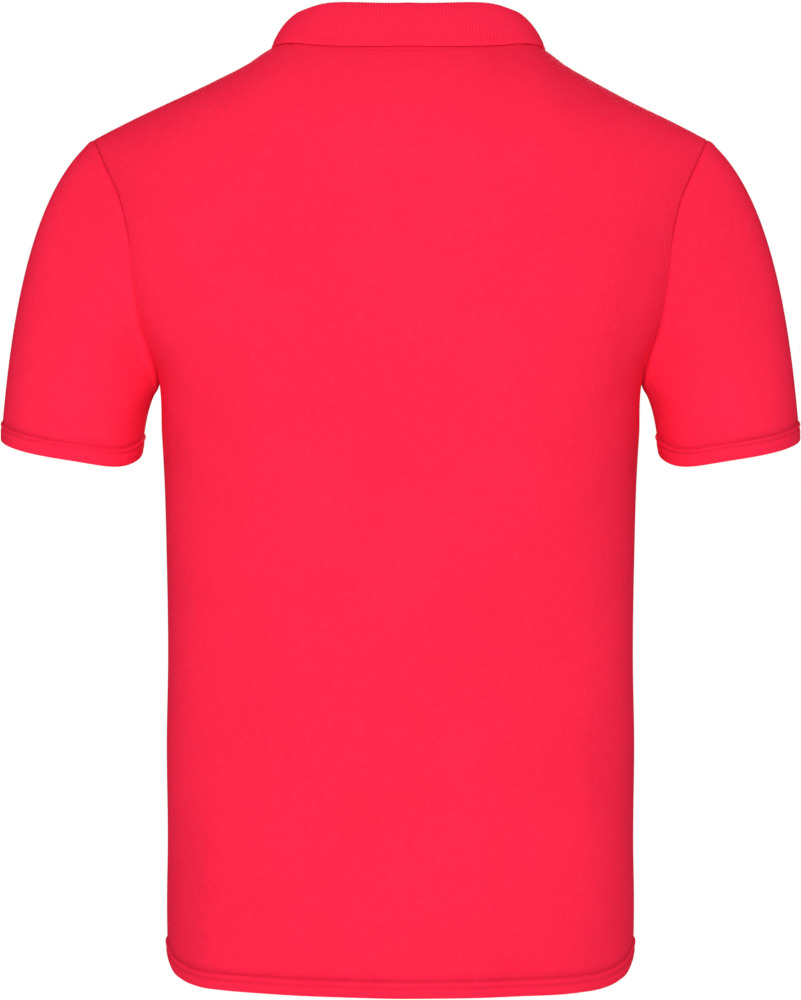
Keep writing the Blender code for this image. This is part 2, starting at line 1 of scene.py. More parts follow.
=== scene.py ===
"""Looks of a pique polo shirt: cloth panels, ribbed collar, placket, stitching, buttons and a plain studio.

Metres, +Z up. The back faces +Y and the camera stands on that side. The shirt's form repeats the sizes and tables
of the CAD model, at a finer grid, with creases, hems, seams and stitches added to it.
"""

import json
import math
from functools import lru_cache

import bmesh
import bpy
import numpy as np
from bpy.props import FloatProperty, IntProperty, PointerProperty
from mathutils import Vector
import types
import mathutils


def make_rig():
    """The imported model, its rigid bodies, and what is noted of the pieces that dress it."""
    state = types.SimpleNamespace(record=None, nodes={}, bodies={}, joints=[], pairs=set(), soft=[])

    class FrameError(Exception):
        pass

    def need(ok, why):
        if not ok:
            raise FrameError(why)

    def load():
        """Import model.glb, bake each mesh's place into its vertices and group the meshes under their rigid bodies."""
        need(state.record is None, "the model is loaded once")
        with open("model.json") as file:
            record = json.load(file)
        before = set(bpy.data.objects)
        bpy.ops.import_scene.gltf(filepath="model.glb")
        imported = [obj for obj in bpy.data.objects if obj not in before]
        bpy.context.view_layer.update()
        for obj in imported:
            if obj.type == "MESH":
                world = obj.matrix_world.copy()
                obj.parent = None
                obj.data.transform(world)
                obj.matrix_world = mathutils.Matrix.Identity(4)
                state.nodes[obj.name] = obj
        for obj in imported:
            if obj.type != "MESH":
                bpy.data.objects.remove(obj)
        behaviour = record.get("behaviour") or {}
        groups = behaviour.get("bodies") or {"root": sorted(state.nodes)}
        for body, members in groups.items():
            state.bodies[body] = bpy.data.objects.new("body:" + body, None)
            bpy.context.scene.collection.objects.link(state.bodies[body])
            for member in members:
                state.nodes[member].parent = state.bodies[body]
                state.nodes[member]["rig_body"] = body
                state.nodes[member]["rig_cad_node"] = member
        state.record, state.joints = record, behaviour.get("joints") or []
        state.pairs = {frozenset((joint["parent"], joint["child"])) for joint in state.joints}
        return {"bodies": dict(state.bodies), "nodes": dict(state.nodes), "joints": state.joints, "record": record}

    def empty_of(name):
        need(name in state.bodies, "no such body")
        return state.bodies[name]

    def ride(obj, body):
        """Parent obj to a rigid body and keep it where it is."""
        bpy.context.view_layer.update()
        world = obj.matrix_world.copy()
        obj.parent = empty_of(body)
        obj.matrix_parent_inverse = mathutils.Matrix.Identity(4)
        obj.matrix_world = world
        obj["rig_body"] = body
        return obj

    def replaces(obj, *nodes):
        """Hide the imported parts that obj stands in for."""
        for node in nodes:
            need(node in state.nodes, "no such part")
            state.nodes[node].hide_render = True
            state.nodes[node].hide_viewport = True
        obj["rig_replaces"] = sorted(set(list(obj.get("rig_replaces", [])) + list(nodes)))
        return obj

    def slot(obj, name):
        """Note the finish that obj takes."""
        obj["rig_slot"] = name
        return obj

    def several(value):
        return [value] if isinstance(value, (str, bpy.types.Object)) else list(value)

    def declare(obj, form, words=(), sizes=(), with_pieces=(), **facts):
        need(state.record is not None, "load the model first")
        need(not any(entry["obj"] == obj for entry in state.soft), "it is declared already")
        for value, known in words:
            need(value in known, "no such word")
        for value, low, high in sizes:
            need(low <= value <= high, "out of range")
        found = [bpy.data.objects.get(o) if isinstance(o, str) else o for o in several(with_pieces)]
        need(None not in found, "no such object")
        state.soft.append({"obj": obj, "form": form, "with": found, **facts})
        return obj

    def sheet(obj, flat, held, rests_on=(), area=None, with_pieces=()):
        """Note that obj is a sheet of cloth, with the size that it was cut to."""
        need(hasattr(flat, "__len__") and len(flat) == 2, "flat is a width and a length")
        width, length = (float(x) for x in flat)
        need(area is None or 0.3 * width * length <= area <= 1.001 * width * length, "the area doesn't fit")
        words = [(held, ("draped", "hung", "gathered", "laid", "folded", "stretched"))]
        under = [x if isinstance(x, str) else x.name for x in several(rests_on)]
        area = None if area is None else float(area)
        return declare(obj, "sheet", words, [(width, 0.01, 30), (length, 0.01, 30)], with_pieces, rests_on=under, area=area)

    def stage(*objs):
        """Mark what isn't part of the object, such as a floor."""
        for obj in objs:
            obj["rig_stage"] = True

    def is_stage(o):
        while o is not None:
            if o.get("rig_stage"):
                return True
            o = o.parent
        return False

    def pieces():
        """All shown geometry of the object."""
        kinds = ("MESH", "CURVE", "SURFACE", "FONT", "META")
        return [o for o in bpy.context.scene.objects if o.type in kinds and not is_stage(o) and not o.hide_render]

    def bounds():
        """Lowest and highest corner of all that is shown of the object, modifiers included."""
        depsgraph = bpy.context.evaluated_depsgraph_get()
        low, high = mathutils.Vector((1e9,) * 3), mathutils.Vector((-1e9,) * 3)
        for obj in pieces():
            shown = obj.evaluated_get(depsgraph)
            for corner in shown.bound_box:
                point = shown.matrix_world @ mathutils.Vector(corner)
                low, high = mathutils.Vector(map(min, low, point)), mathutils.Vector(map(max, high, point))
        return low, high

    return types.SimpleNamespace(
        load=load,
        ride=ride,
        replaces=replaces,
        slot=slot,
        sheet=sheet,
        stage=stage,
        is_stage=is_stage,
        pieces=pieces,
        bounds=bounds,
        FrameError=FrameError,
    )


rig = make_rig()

bl_info = {
    "name": "Pique Polo Shirt",
    "version": (1, 0, 0),
    "blender": (4, 5, 0),
    "location": "3D View > Sidebar > Polo Shirt",
    "description": "Builds the cloth, the knitting, the stitching and the studio of a polo shirt",
    "category": "Object",
}

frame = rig.load()
CAD_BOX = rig.bounds()

UP = np.array((0.0, 0.0, 1.0))

# Cloth
CLOTH = 0.0013
HEM_CLOTH = 0.0024
HEM_STEP = 0.0015
TURNED_LAYER = 0.0006
TURNED_FADE = 0.0012
COLLAR_CLOTH = 0.0017
BAND_CLOTH = 0.0016
BAND_ROUNDING = 0.00035
SEAM_GAP = 0.0004
SEAM_LAP = 0.0001

# Body
FULLNESS = 2.3
SHOULDER_ROUNDNESS = 2.2
BACK_ROUND_HEIGHT = 0.140
FRONT_ROUND_HEIGHT = 0.170
UNDERARM_Z = -0.264
YOKE_Z = -0.300
HEM_TILT = 0.0016
HEM_BAND = 0.018
LOWER_ROWS = 84
UPPER_ROWS = 84

# Neck and shoulders
NECK_X = -0.006
NECK_HALF_WIDTH = 0.092
BACK_NECK_Z = -0.0035
SHOULDER_LEAN = 0.006
LEAN_FROM = 0.185
LEAN_OVER = 0.095
FRONT_NECK_Z = -0.085
SHOULDER_TIP_X = 0.2385
ARMHOLE_COLUMNS = 40
ARMHOLE_APPROACH = 0.12
APPROACH_DEPTH = 0.012
ARMHOLE_SHARE = 0.66
ARMHOLE_BUNCHING = 0.12
SHOULDER_COLUMNS = 14
NECK_COLUMNS = 22

# Sleeves
SLEEVE_ROWS = 70
CUFF_OUTER = (0.3126, -0.3045)
CUFF_INNER = (0.2024, -0.3163)
CUFF_Y = -0.012
CUFF_HALF_DEPTH = 0.054
CUFF_BACK_DROP = 0.213
CUFF_DROOP = 0.0048
CUFF_DROOP_TURN = 137.0
CUFF_DROOP_SPREAD = 32.0
SEAM_LIFT = 0.35
ARMHOLE_HANDLE = 0.28
CUFF_HANDLE = 0.30
ARMHOLE_REACH = 0.06
SLEEVE_RADIUS = 0.055
CREASE_START = 0.012
ROLL_PLACE = 0.0050
ROLL_WIDTH = 0.0030

# Collar
RIB_COLUMNS = 4
STAND_ROWS = 6
FOLD_ROWS = 8
LEAF_ROWS = 16
FOLD_RADIUS = 0.0024
COLLAR_RISE = 0.0012
COLLAR_END = 177.0
STAND_BOW = 0.0006
LEAF_BOW = 0.001
LEAF_CLEARANCE = 0.0028
EDGE_CLEARANCE = 0.0013
LEAF_ROUNDING = 0.25
SETTLE_HEIGHT = 0.1
SETTLE_REACH = 0.008
SETTLE_EASE = 6
BORDER = 0.0052
BORDER_GROOVE = 0.0003

# Placket and buttons
PLACKET_HALF_WIDTH = 0.016
PLACKET_LAP = 0.0012
PLACKET_BELOW = 0.004
COLLAR_ROOM = 0.0032
BAND_COLUMNS = 32
UNDER_ROWS = 60
UPPER_BAND_ROWS = 70
SLIT_SHARE = 0.3636
BUTTON_HEIGHTS = (-0.112, -0.157, -0.202)
BUTTON_THICKNESS = 0.0026
BUTTON_DISH = 0.0006
BUTTON_HOLE_X = 0.00106
BUTTON_HOLE_Z = 0.0013
BUTTONHOLE_LENGTH = 0.0155
BUTTONHOLE_STEP = 0.00055
BUTTONHOLE_BAR = 0.0012
LIP_WIDTH = 0.0011

# Stitches. A ring of a stitch has its place along the stitch and its share of the thread's radius.
FINE_THREAD = 0.00022
STITCH_RINGS = ((-0.5, 0.25), (-0.36, 0.85), (0.0, 1.0), (0.36, 0.85), (0.5, 0.25))
STITCH_SIDES = 6
NECK_STITCHES = 0.0100
EDGE_STITCH = 0.0020
BOX_HEIGHT = 0.016

# Colours in sRGB, and the finish that all the cotton has
PIQUE_COLOUR = (255, 36, 71)
# The darker red below is painted shade in the pique's dents, the rib valleys and between the knit's loops, and also
# the random mottle of the cotton and the thread's twist.
PIQUE_SHADE_AND_MOTTLE = (190, 12, 44)
PIQUE_LIGHT = (255, 78, 108)
RIB_COLOUR = (255, 38, 73)
# SEAM_SHADE is the colour of the painted shade along the pique's seams, stitch rows, band edges and needle holes.
SEAM_SHADE = (168, 6, 34)
THREAD_COLOUR = (253, 54, 88)
BUTTON_COLOUR = (214, 30, 56)
BUTTON_PEARL = (240, 92, 112)
LOOP_HEIGHT = 0.0012
LOOP_RELIEF = 0.00012
TWIST_RELIEF = 0.0001
COTTON_GLOSS = {
    "Specular IOR Level": 0.02,
    "Sheen Weight": 0.06,
    "Sheen Roughness": 0.5,
    "Sheen Tint": (1.0, 0.02, 0.08, 1.0),
}

# Studio
WHITE = (1.0, 1.0, 1.0, 1.0)
FLOOR_Z = -1.5
FLOOR_RADIUS = 2.6
FLOOR_GLOW = 0.12
FLOOR_TONES = ((0.8, 0.8, 0.8, 1.0), (0.78, 0.78, 0.78, 1.0))
WORLD_LIGHT = 0.12
CAMERA_PLACE = (0.0, 2.8, -0.353)
CAMERA_LENS = 129.2
LIGHT_AIM = (0.0, 0.0, -0.35)
LIGHTS = (
    # name, place, size, power
    ("light_behind_camera", (0.12, 2.4, 0.30), 1.2, 58.0),
    ("light_left", (3.4, -0.6, 0.5), 2.0, 26.0),
    ("light_right", (-3.4, -0.6, 0.5), 2.0, 29.0),
    ("light_front", (-0.15, -2.4, 0.55), 1.2, 60.0),
    ("light_top", (0.0, 0.0, 3.2), 2.2, 14.0),
)

# Rings round the body. The rows above the underarm also round out the armholes and the shoulders.
BODY = (
    # height, half_width, back_depth, front_depth
    (-0.724, 0.1808, 0.1260, 0.1270),
    (-0.665, 0.1818, 0.1235, 0.1255),
    (-0.620, 0.1812, 0.1205, 0.1250),
    (-0.540, 0.1820, 0.1155, 0.1250),
    (-0.475, 0.1810, 0.1135, 0.1270),
    (-0.400, 0.1820, 0.1165, 0.1300),
    (-0.337, 0.1838, 0.1210, 0.1330),
    (-0.300, 0.1858, 0.1225, 0.1350),
    (-0.264, 0.1876, 0.1235, 0.1360),
    (-0.254, 0.1895, 0.1235, 0.1357),
    (-0.238, 0.1980, 0.1235, 0.1345),
    (-0.223, 0.2068, 0.1233, 0.1330),
    (-0.203, 0.2160, 0.1230, 0.1300),
    (-0.182, 0.2225, 0.1225, 0.1260),
    (-0.161, 0.2270, 0.1215, 0.1210),
    (-0.140, 0.2315, 0.1200, 0.1145),
    (-0.118, 0.2385, 0.1175, 0.1080),
    (-0.097, 0.2490, 0.1150, 0.1010),
    (-0.072, 0.2620, 0.1115, 0.0935),
    (-0.040, 0.2700, 0.1060, 0.0840),
    (0.013, 0.2750, 0.0960, 0.0700),
)

SHOULDER_LINE = (
    # distance_out, height
    (0.000, 0.0130),
    (0.040, 0.0122),
    (0.070, 0.0096),
    (0.094, 0.0046),
    (0.108, -0.0026),
    (0.118, -0.0104),
    (0.145, -0.0258),
    (0.177, -0.0420),
    (0.208, -0.0566),
    (0.2385, -0.0718),
    (0.275, -0.0920),
)

ARMHOLE = (
    # height, back_x, front_x
    (-0.264, 0.1876, 0.1876),
    (-0.254, 0.1885, 0.1880),
    (-0.238, 0.1935, 0.1900),
    (-0.223, 0.1981, 0.1925),
    (-0.203, 0.2018, 0.1950),
    (-0.182, 0.2048, 0.1970),
    (-0.161, 0.2070, 0.1992),
    (-0.140, 0.2108, 0.2035),
    (-0.118, 0.2173, 0.2115),
    (-0.097, 0.2270, 0.2230),
    (-0.0718, 0.2385, 0.2385),
)

# The hem's height by how far out it is, from the middle to the side seams.
HEM = (
    # fraction_out, height
    (0.00, -0.7245),
    (0.50, -0.7241),
    (0.75, -0.7237),
    (0.85, -0.7227),
    (0.92, -0.7197),
    (0.97, -0.7143),
    (0.99, -0.7088),
    (1.00, -0.7050),
)

# Soft folds and fullness of the filled cloth: side is 1 on the back and -1 on the front.
FOLDS = (
    # side, x, top, bottom, half_width, height
    (1, 0.137, -0.035, -0.225, 0.038, 0.0032),
    (1, -0.121, -0.030, -0.215, 0.038, 0.0032),
    (1, 0.092, -0.060, -0.250, 0.017, -0.0020),
    (1, -0.064, -0.070, -0.270, 0.020, -0.0015),
    (1, -0.070, -0.210, -0.440, 0.034, 0.0026),
    (1, 0.110, -0.260, -0.450, 0.030, 0.0020),
    (1, 0.006, -0.380, -0.900, 0.030, 0.0026),
    (1, 0.114, -0.400, -0.900, 0.022, -0.0024),
    (1, -0.088, -0.520, -0.900, 0.024, -0.0026),
    (-1, 0.085, -0.110, -0.330, 0.050, 0.0040),
    (-1, -0.085, -0.115, -0.330, 0.050, 0.0036),
    (-1, 0.118, -0.330, -0.900, 0.024, -0.0032),
    (-1, -0.104, -0.360, -0.900, 0.022, -0.0030),
    (-1, 0.038, -0.420, -0.900, 0.028, 0.0028),
    (-1, -0.046, -0.400, -0.900, 0.026, 0.0024),
)

# Finer creases of the back and the front, as straight soft troughs and ridges between two places.
CREASES = (
    # side, start_x, start_z, end_x, end_z, half_width, height
    (1, 0.178, -0.262, 0.118, -0.330, 0.0100, -0.0010),
    (1, 0.172, -0.300, 0.128, -0.352, 0.0120, 0.0008),
    (1, -0.176, -0.262, -0.128, -0.312, 0.0090, -0.0009),
    (1, -0.178, -0.300, -0.112, -0.372, 0.0130, 0.0007),
    (1, 0.196, -0.130, 0.160, -0.232, 0.0110, -0.0008),
    (1, -0.198, -0.120, -0.168, -0.240, 0.0120, -0.0008),
    (1, 0.050, -0.022, 0.034, -0.110, 0.0120, -0.0006),
    (1, -0.052, -0.020, -0.040, -0.096, 0.0110, -0.0005),
    (1, 0.112, -0.436, 0.120, -0.716, 0.0160, -0.0014),
    (1, -0.084, -0.586, -0.090, -0.722, 0.0150, -0.0015),
    (1, 0.140, -0.560, 0.146, -0.726, 0.0120, 0.0009),
    (1, -0.136, -0.490, -0.142, -0.726, 0.0150, 0.0008),
    (1, 0.034, -0.610, 0.040, -0.728, 0.0130, -0.0006),
    (1, -0.030, -0.500, -0.026, -0.640, 0.0160, -0.0005),
    (-1, 0.176, -0.268, 0.104, -0.226, 0.0100, -0.0012),
    (-1, 0.180, -0.290, 0.112, -0.330, 0.0120, -0.0010),
    (-1, -0.178, -0.266, -0.110, -0.214, 0.0110, -0.0012),
    (-1, -0.180, -0.296, -0.126, -0.366, 0.0120, 0.0009),
    (-1, 0.026, -0.232, 0.066, -0.330, 0.0130, -0.0008),
    (-1, -0.034, -0.236, -0.060, -0.312, 0.0110, -0.0007),
    (-1, 0.116, -0.380, 0.124, -0.724, 0.0120, -0.0010),
    (-1, -0.106, -0.430, -0.100, -0.724, 0.0110, -0.0010),
    (-1, 0.080, -0.520, 0.086, -0.724, 0.0140, 0.0008),
    (-1, -0.060, -0.560, -0.052, -0.724, 0.0120, -0.0007),
    (-1, -0.146, -0.520, -0.150, -0.720, 0.0120, 0.0009),
)

# Creases of each sleeve. A turn of 0 degrees is the top of the sleeve and 90 its back; down runs from the armhole
# at 0 to the cuff at 1.
SLEEVE_CREASES = (
    # sign, start_turn, start_down, end_turn, end_down, half_width, height
    (1, 150, 0.02, 96, 0.62, 0.0100, -0.0011),
    (1, 168, 0.10, 128, 0.80, 0.0090, 0.0008),
    (1, 40, 0.02, 62, 0.52, 0.0110, -0.0006),
    (1, 214, 0.04, 262, 0.60, 0.0100, -0.0012),
    (1, 196, 0.16, 232, 0.84, 0.0090, 0.0008),
    (1, 318, 0.05, 300, 0.50, 0.0110, -0.0007),
    (1, 84, 0.50, 88, 0.93, 0.0120, 0.0005),
    (-1, 152, 0.02, 104, 0.56, 0.0100, -0.0010),
    (-1, 170, 0.08, 124, 0.72, 0.0100, 0.0008),
    (-1, 34, 0.03, 50, 0.60, 0.0120, -0.0006),
    (-1, 212, 0.03, 256, 0.66, 0.0100, -0.0011),
    (-1, 194, 0.14, 236, 0.78, 0.0090, 0.0009),
    (-1, 322, 0.04, 306, 0.44, 0.0110, -0.0007),
    (-1, 70, 0.46, 80, 0.94, 0.0130, 0.0005),
)

# The folded collar, by degrees round the neck from the middle of the back.
COLLAR = (
    # angle, stand_rise, fold_lean, edge_out, edge_drop, edge_slide
    (0, 0.0296, -0.0030, 0.0110, 0.0035, 0.0000),
    (45, 0.0265, -0.0045, 0.0125, 0.0040, 0.0000),
    (65, 0.0200, -0.0052, 0.0135, 0.0040, 0.0000),
    (90, 0.0155, -0.0060, 0.0145, 0.0042, 0.0000),
    (120, 0.0180, -0.0030, 0.0120, 0.0130, 0.0130),
    (150, 0.0190, 0.0000, 0.0080, 0.0060, 0.0350),
    (180, 0.0190, 0.0010, 0.0050, 0.0180, 0.0540),
)

# Heights of the fine rows over a turned-up edge, and where its two rows of stitches lie.
HEM_ROWS = (0.0, 0.0004, 0.0010, 0.0022, 0.0040, 0.0056, 0.0064, 0.0070, 0.0075, 0.0080, 0.0086, 0.0094, 0.0102)
HEM_ROWS += (0.0110, 0.0118, 0.0124, 0.0129, 0.0134, 0.0140, 0.0150, 0.0164, 0.0180, 0.0195, 0.0215)
HEM_STITCHES = (0.0075, 0.0129)
CUFF_ROWS = (0.0, 0.0004, 0.0010, 0.0022, 0.0044, 0.0066, 0.0086, 0.0098, 0.0104, 0.0110, 0.0116, 0.0122, 0.0130)
CUFF_ROWS += (0.0138, 0.0144, 0.0150, 0.0156, 0.0162, 0.0170, 0.0180, 0.0195, 0.0215)
CUFF_STITCHES = (0.0110, 0.0150)
SEAM_ROWS = (0.0, 0.0004, 0.0009, 0.0015, 0.0022, 0.0030, 0.0039, 0.0049, 0.0060, 0.0074, 0.0090)

# The cut of each sheet that shows, all round on a tube.
CUTS = {
    # name: width, length, area
    "back_panel": (0.530, 0.780, 0.356),
    "front_panel": (0.540, 0.780, 0.339),
    "sleeve_left_cloth": (0.460, 0.240, 0.058),
    "sleeve_right_cloth": (0.460, 0.240, 0.058),
    "collar_knit": (0.480, 0.080, 0.0370),
    "placket_upper_band": (0.035, 0.155, 0.0053),
    "placket_under_band": (0.034, 0.142, 0.0047),
}


def curve_through(knots, values):
    """A smooth function through the values, its slope at each knot taken from the neighbours."""
    knots, values = np.array(knots, float), np.array(values, float)
    slopes = np.gradient(values, knots)

    def at(where):
        where = np.clip(where, knots[0], knots[-1])
        k = np.minimum(np.searchsorted(knots, where, side="right") - 1, len(knots) - 2)
        span = knots[k + 1] - knots[k]
        s = (where - knots[k]) / span
        start = (1 + 2 * s) * (1 - s) ** 2 * values[k] + s * (1 - s) ** 2 * span * slopes[k]
        end = s * s * (3 - 2 * s) * values[k + 1] - s * s * (1 - s) * span * slopes[k + 1]
        return start + end

    return at


def curves_of(table):
    """A smooth function of a table's first column for each of its other columns."""
    first, *others = zip(*table)
    return [curve_through(first, values) for values in others]


half_width, back_depth, front_depth = curves_of(BODY)
(shoulder_height,) = curves_of(SHOULDER_LINE)
(hem_line,) = curves_of(HEM)
armhole_back, armhole_front = curves_of(ARMHOLE)
stand_rise, fold_lean, edge_out, edge_drop, edge_slide = curves_of(COLLAR)


def run_along(points, axis=0):
    """The length run along an axis of a line or grid of points, from 0 at its start."""
    steps = np.linalg.norm(np.diff(points, axis=axis), axis=-1)
    return np.insert(np.cumsum(steps, axis=axis), 0, 0, axis=axis)


def together(*parts):
    """Arrays of x, y and the like as one array of points."""
    return np.stack(np.broadcast_arrays(*parts), axis=-1)


def place_at(where, run, line):
    """The point of a line at a length run along it."""
    return np.array([np.interp(where, run, line[:, i]) for i in range(3)])


def rounded_step(share):
    """A share of 0 to 1 with its ends eased."""
    return share * share * (3 - 2 * share)


def unit(vectors):
    """The vectors at length 1. The last axis holds x, y and z."""
    vectors = np.asarray(vectors, float)
    return vectors / np.maximum(np.linalg.norm(vectors, axis=-1, keepdims=True), 1e-12)


def fold_height(side, x, z):
    """How far the soft folds stand out at places on the back or the front."""
    total = np.zeros(np.broadcast(x, z).shape)
    for fold_side, fold_x, top, bottom, width, height in FOLDS:
        if fold_side == side:
            share = np.clip((z - bottom) / (top - bottom), 0, 1)
            total += height * np.sin(math.pi * share) ** 1.5 * np.exp(-(((x - fold_x) / width) ** 2))
    return total


def shoulder_at(x):
    """The shoulder line's height at x. Near the neck it leans to the wearer's right, as the neck does."""
    lean = SHOULDER_LEAN * np.clip((LEAN_FROM - np.abs(x)) / LEAN_OVER, 0.0, 1.0)
    return shoulder_height(np.abs(x + lean))


def body_points(side, x, z, gap=0.0):
    """The outer side of the back or the front at each x and z. It rounds over towards the shoulder line."""
    x, z = np.asarray(x, float), np.asarray(z, float)
    depth = back_depth(z) if side > 0 else front_depth(z)
    round_height = BACK_ROUND_HEIGHT if side > 0 else FRONT_ROUND_HEIGHT
    across = np.minimum(np.abs(x) / half_width(z), 1.0)
    around = (1 - across**FULLNESS) ** (1 / FULLNESS)
    below = np.clip((shoulder_at(x) - z) / round_height, 0.0, 1.0)
    over = (1 - (1 - below) ** SHOULDER_ROUNDNESS) ** (1 / SHOULDER_ROUNDNESS)
    y = (depth + fold_height(side, x, z)) * around * over
    return together(x, side * (y + gap), z)


def along_segment(places, start, end):
    """How far each flat place is from a segment, and how far along the segment it lies, from 0 to 1."""
    run = np.subtract(end, start)
    share = np.clip(((places - start) @ run) / (run @ run), 0, 1)
    return np.linalg.norm(places - start - share[..., None] * run, axis=-1), share


def crease_offsets(places, creases):
    """How far a list of creases moves the cloth out at each flat place."""
    total = np.zeros(places.shape[:-1])
    for start_x, start_z, end_x, end_z, width, height in creases:
        distance, share = along_segment(places, (start_x, start_z), (end_x, end_z))
        taper = np.sin(math.pi * (0.08 + 0.84 * share)) ** 0.8
        spread = width * (0.75 + 0.5 * share)
        total += height * taper * np.exp(-((distance / spread) ** 2))
    return total


def neck_place(side, angle):
    """The x and z of the neck seam at angles in degrees from the middle of its side."""
    out = np.sin(np.radians(angle))
    middle, power = (BACK_NECK_Z, 2.2) if side > 0 else (FRONT_NECK_Z, 2.4)
    x = NECK_X + NECK_HALF_WIDTH * out
    top = shoulder_at(NECK_X + np.copysign(NECK_HALF_WIDTH, out))
    return x, middle + (top - middle) * np.abs(out) ** power


def armhole_places(side, columns):
    """The x and z of the armhole seam, from the underarm to the shoulder tip, at even steps along it."""
    seam_x = armhole_back if side > 0 else armhole_front
    heights = UNDERARM_Z + (ARMHOLE[-1][0] - UNDERARM_Z) * rounded_step(np.linspace(0, 1, 400))
    xs = seam_x(heights)
    run = run_along(body_points(side, xs, heights))
    even = np.linspace(0, run[-1], columns + 1)
    return list(zip(np.interp(even, run, xs), np.interp(even, run, heights)))


def shoulder_places(sign):
    """The x and z of the shoulder seam, from the tip in to the neck."""
    neck_x = NECK_X + sign * NECK_HALF_WIDTH
    xs = np.linspace(sign * SHOULDER_TIP_X, neck_x, SHOULDER_COLUMNS + 1)
    return list(zip(xs, shoulder_at(xs)))


def neck_angles(side):
    """Even steps on the back. The front leaves out the placket, whose edges are two of its columns."""
    if side > 0:
        return list(np.linspace(90, -90, 2 * NECK_COLUMNS + 1))
    edge = math.degrees(math.asin(PLACKET_HALF_WIDTH / NECK_HALF_WIDTH))
    half = list(np.linspace(90, edge, NECK_COLUMNS + 1))
    return half + [-angle for angle in reversed(half)]


def top_places(side):
    """The top of each column of a panel: up one armhole, over the shoulders and round the neck."""
    armhole = armhole_places(side, ARMHOLE_COLUMNS)
    neck = [neck_place(side, angle) for angle in neck_angles(side)]
    left = armhole + shoulder_places(1)[1:]
    right = [(-x, z) for x, z in armhole] + shoulder_places(-1)[1:]
    return left + neck[1:-1] + right[::-1]


def yoke_fractions(side):
    """How far out each column lies at the height where the armholes begin to shape it."""
    neck = [NECK_X + NECK_HALF_WIDTH * math.sin(math.radians(a)) for a in neck_angles(side)]
    width = half_width(YOKE_Z)
    beyond = [max(0.0, abs(x - NECK_X) - PLACKET_HALF_WIDTH) / NECK_HALF_WIDTH for x in neck]
    inner = [(x - 0.25 * (x - NECK_X) * b) / width for x, b in zip(neck, beyond)]
    bend = math.acos(ARMHOLE_SHARE ** (FULLNESS / 2))
    bends = [bend * k / ARMHOLE_COLUMNS for k in range(ARMHOLE_COLUMNS + 1)]
    armhole = [math.cos(b) ** (2 / FULLNESS) for b in bends]
    left = list(np.linspace(armhole[-1], inner[0], SHOULDER_COLUMNS + 1))[1:]
    right = list(np.linspace(armhole[-1], -inner[-1], SHOULDER_COLUMNS + 1))[1:]
    return armhole + left + inner[1:-1] + [-f for f in (armhole + right)[::-1]]


def angle_of(fraction):
    """The angle round the body's ring at a fraction of its half width."""
    return math.acos(min(abs(fraction), 1.0) ** (FULLNESS / 2))


def panel_column(side, top, fraction, armhole_column):
    """The x and z down one column of a panel, from the hem up to its top."""
    hem = hem_line(abs(fraction)) + HEM_TILT * fraction * (1 - fraction**4)
    fine = hem + np.array(HEM_ROWS)
    lower_z = np.concatenate([fine, np.linspace(fine[-1], YOKE_Z, LOWER_ROWS + 1)[1:]])
    lower_x = fraction * half_width(lower_z)
    top_x, top_z = top
    beyond = (abs(top_x - NECK_X) - PLACKET_HALF_WIDTH) / (NECK_HALF_WIDTH - PLACKET_HALF_WIDTH)
    bunch = 1.0 if side > 0 else min(max(beyond, 0.0), 1.0)
    bunch = min(bunch, max(0.0, (top_z - UNDERARM_Z) / ARMHOLE_BUNCHING))
    t = np.linspace(0, 1, UPPER_ROWS + 1)[1:]
    upper_z = YOKE_Z + (top_z - YOKE_Z) * ((1 - bunch) * t + bunch * np.sin(math.pi * t / 2))
    if armhole_column:
        start_angle, end_angle = angle_of(fraction), angle_of(top_x / half_width(top_z))
        bend = start_angle + (end_angle - start_angle) * t * t
        upper_x = half_width(upper_z) * np.cos(bend) ** (2 / FULLNESS)
        if abs(fraction) < 1:
            seam_x = armhole_back if side > 0 else armhole_front
            approach = ARMHOLE_APPROACH * np.minimum(top_z - upper_z, APPROACH_DEPTH)
            upper_x = np.minimum(upper_x, seam_x(upper_z) - approach)
        upper_x = upper_x * math.copysign(1.0, fraction)
    else:
        start_x = fraction * half_width(YOKE_Z)
        upper_x = start_x + (top_x - start_x) * t * t
    return np.concatenate([lower_x, upper_x]), np.concatenate([lower_z, upper_z])


def grid_normals(grid, outwards, closed=False):
    """Unit normals of a grid of points, turned to the side that outwards gives."""
    if closed:
        around = np.roll(grid, -1, axis=1) - np.roll(grid, 1, axis=1)
    else:
        around = np.gradient(grid, axis=1)
    normals = unit(np.cross(np.gradient(grid, axis=0), around))
    flip = np.sign(np.sum(normals * outwards, axis=2, keepdims=True))
    return normals * np.where(flip == 0, 1, flip)


def panel(side):
    """The points and normals of the back or the front, as rows of columns."""
    tops, fractions = top_places(side), yoke_fractions(side)
    last = len(tops) - 1
    columns = []
    for k, (top, fraction) in enumerate(zip(tops, fractions)):
        columns.append(panel_column(side, top, fraction, min(k, last - k) <= ARMHOLE_COLUMNS))
    places = np.array(columns).transpose(2, 0, 1)
    grid = body_points(side, places[..., 0], places[..., 1], SEAM_GAP / 2)
    normals = grid_normals(grid, grid * (1, 1, 0) + (0, 0, 0.08))
    normals[:, 0], normals[:, last] = (1, 0, 0), (-1, 0, 0)
    shoulder = range(ARMHOLE_COLUMNS, ARMHOLE_COLUMNS + SHOULDER_COLUMNS + 1)
    for k in list(shoulder) + [last - k for k in shoulder]:
        x = grid[-1, k, 0]
        slope = (shoulder_at(x + 0.005) - shoulder_at(x - 0.005)) / 0.01
        normals[-1, k] = unit((-slope, 0, 1))
    return grid, normals


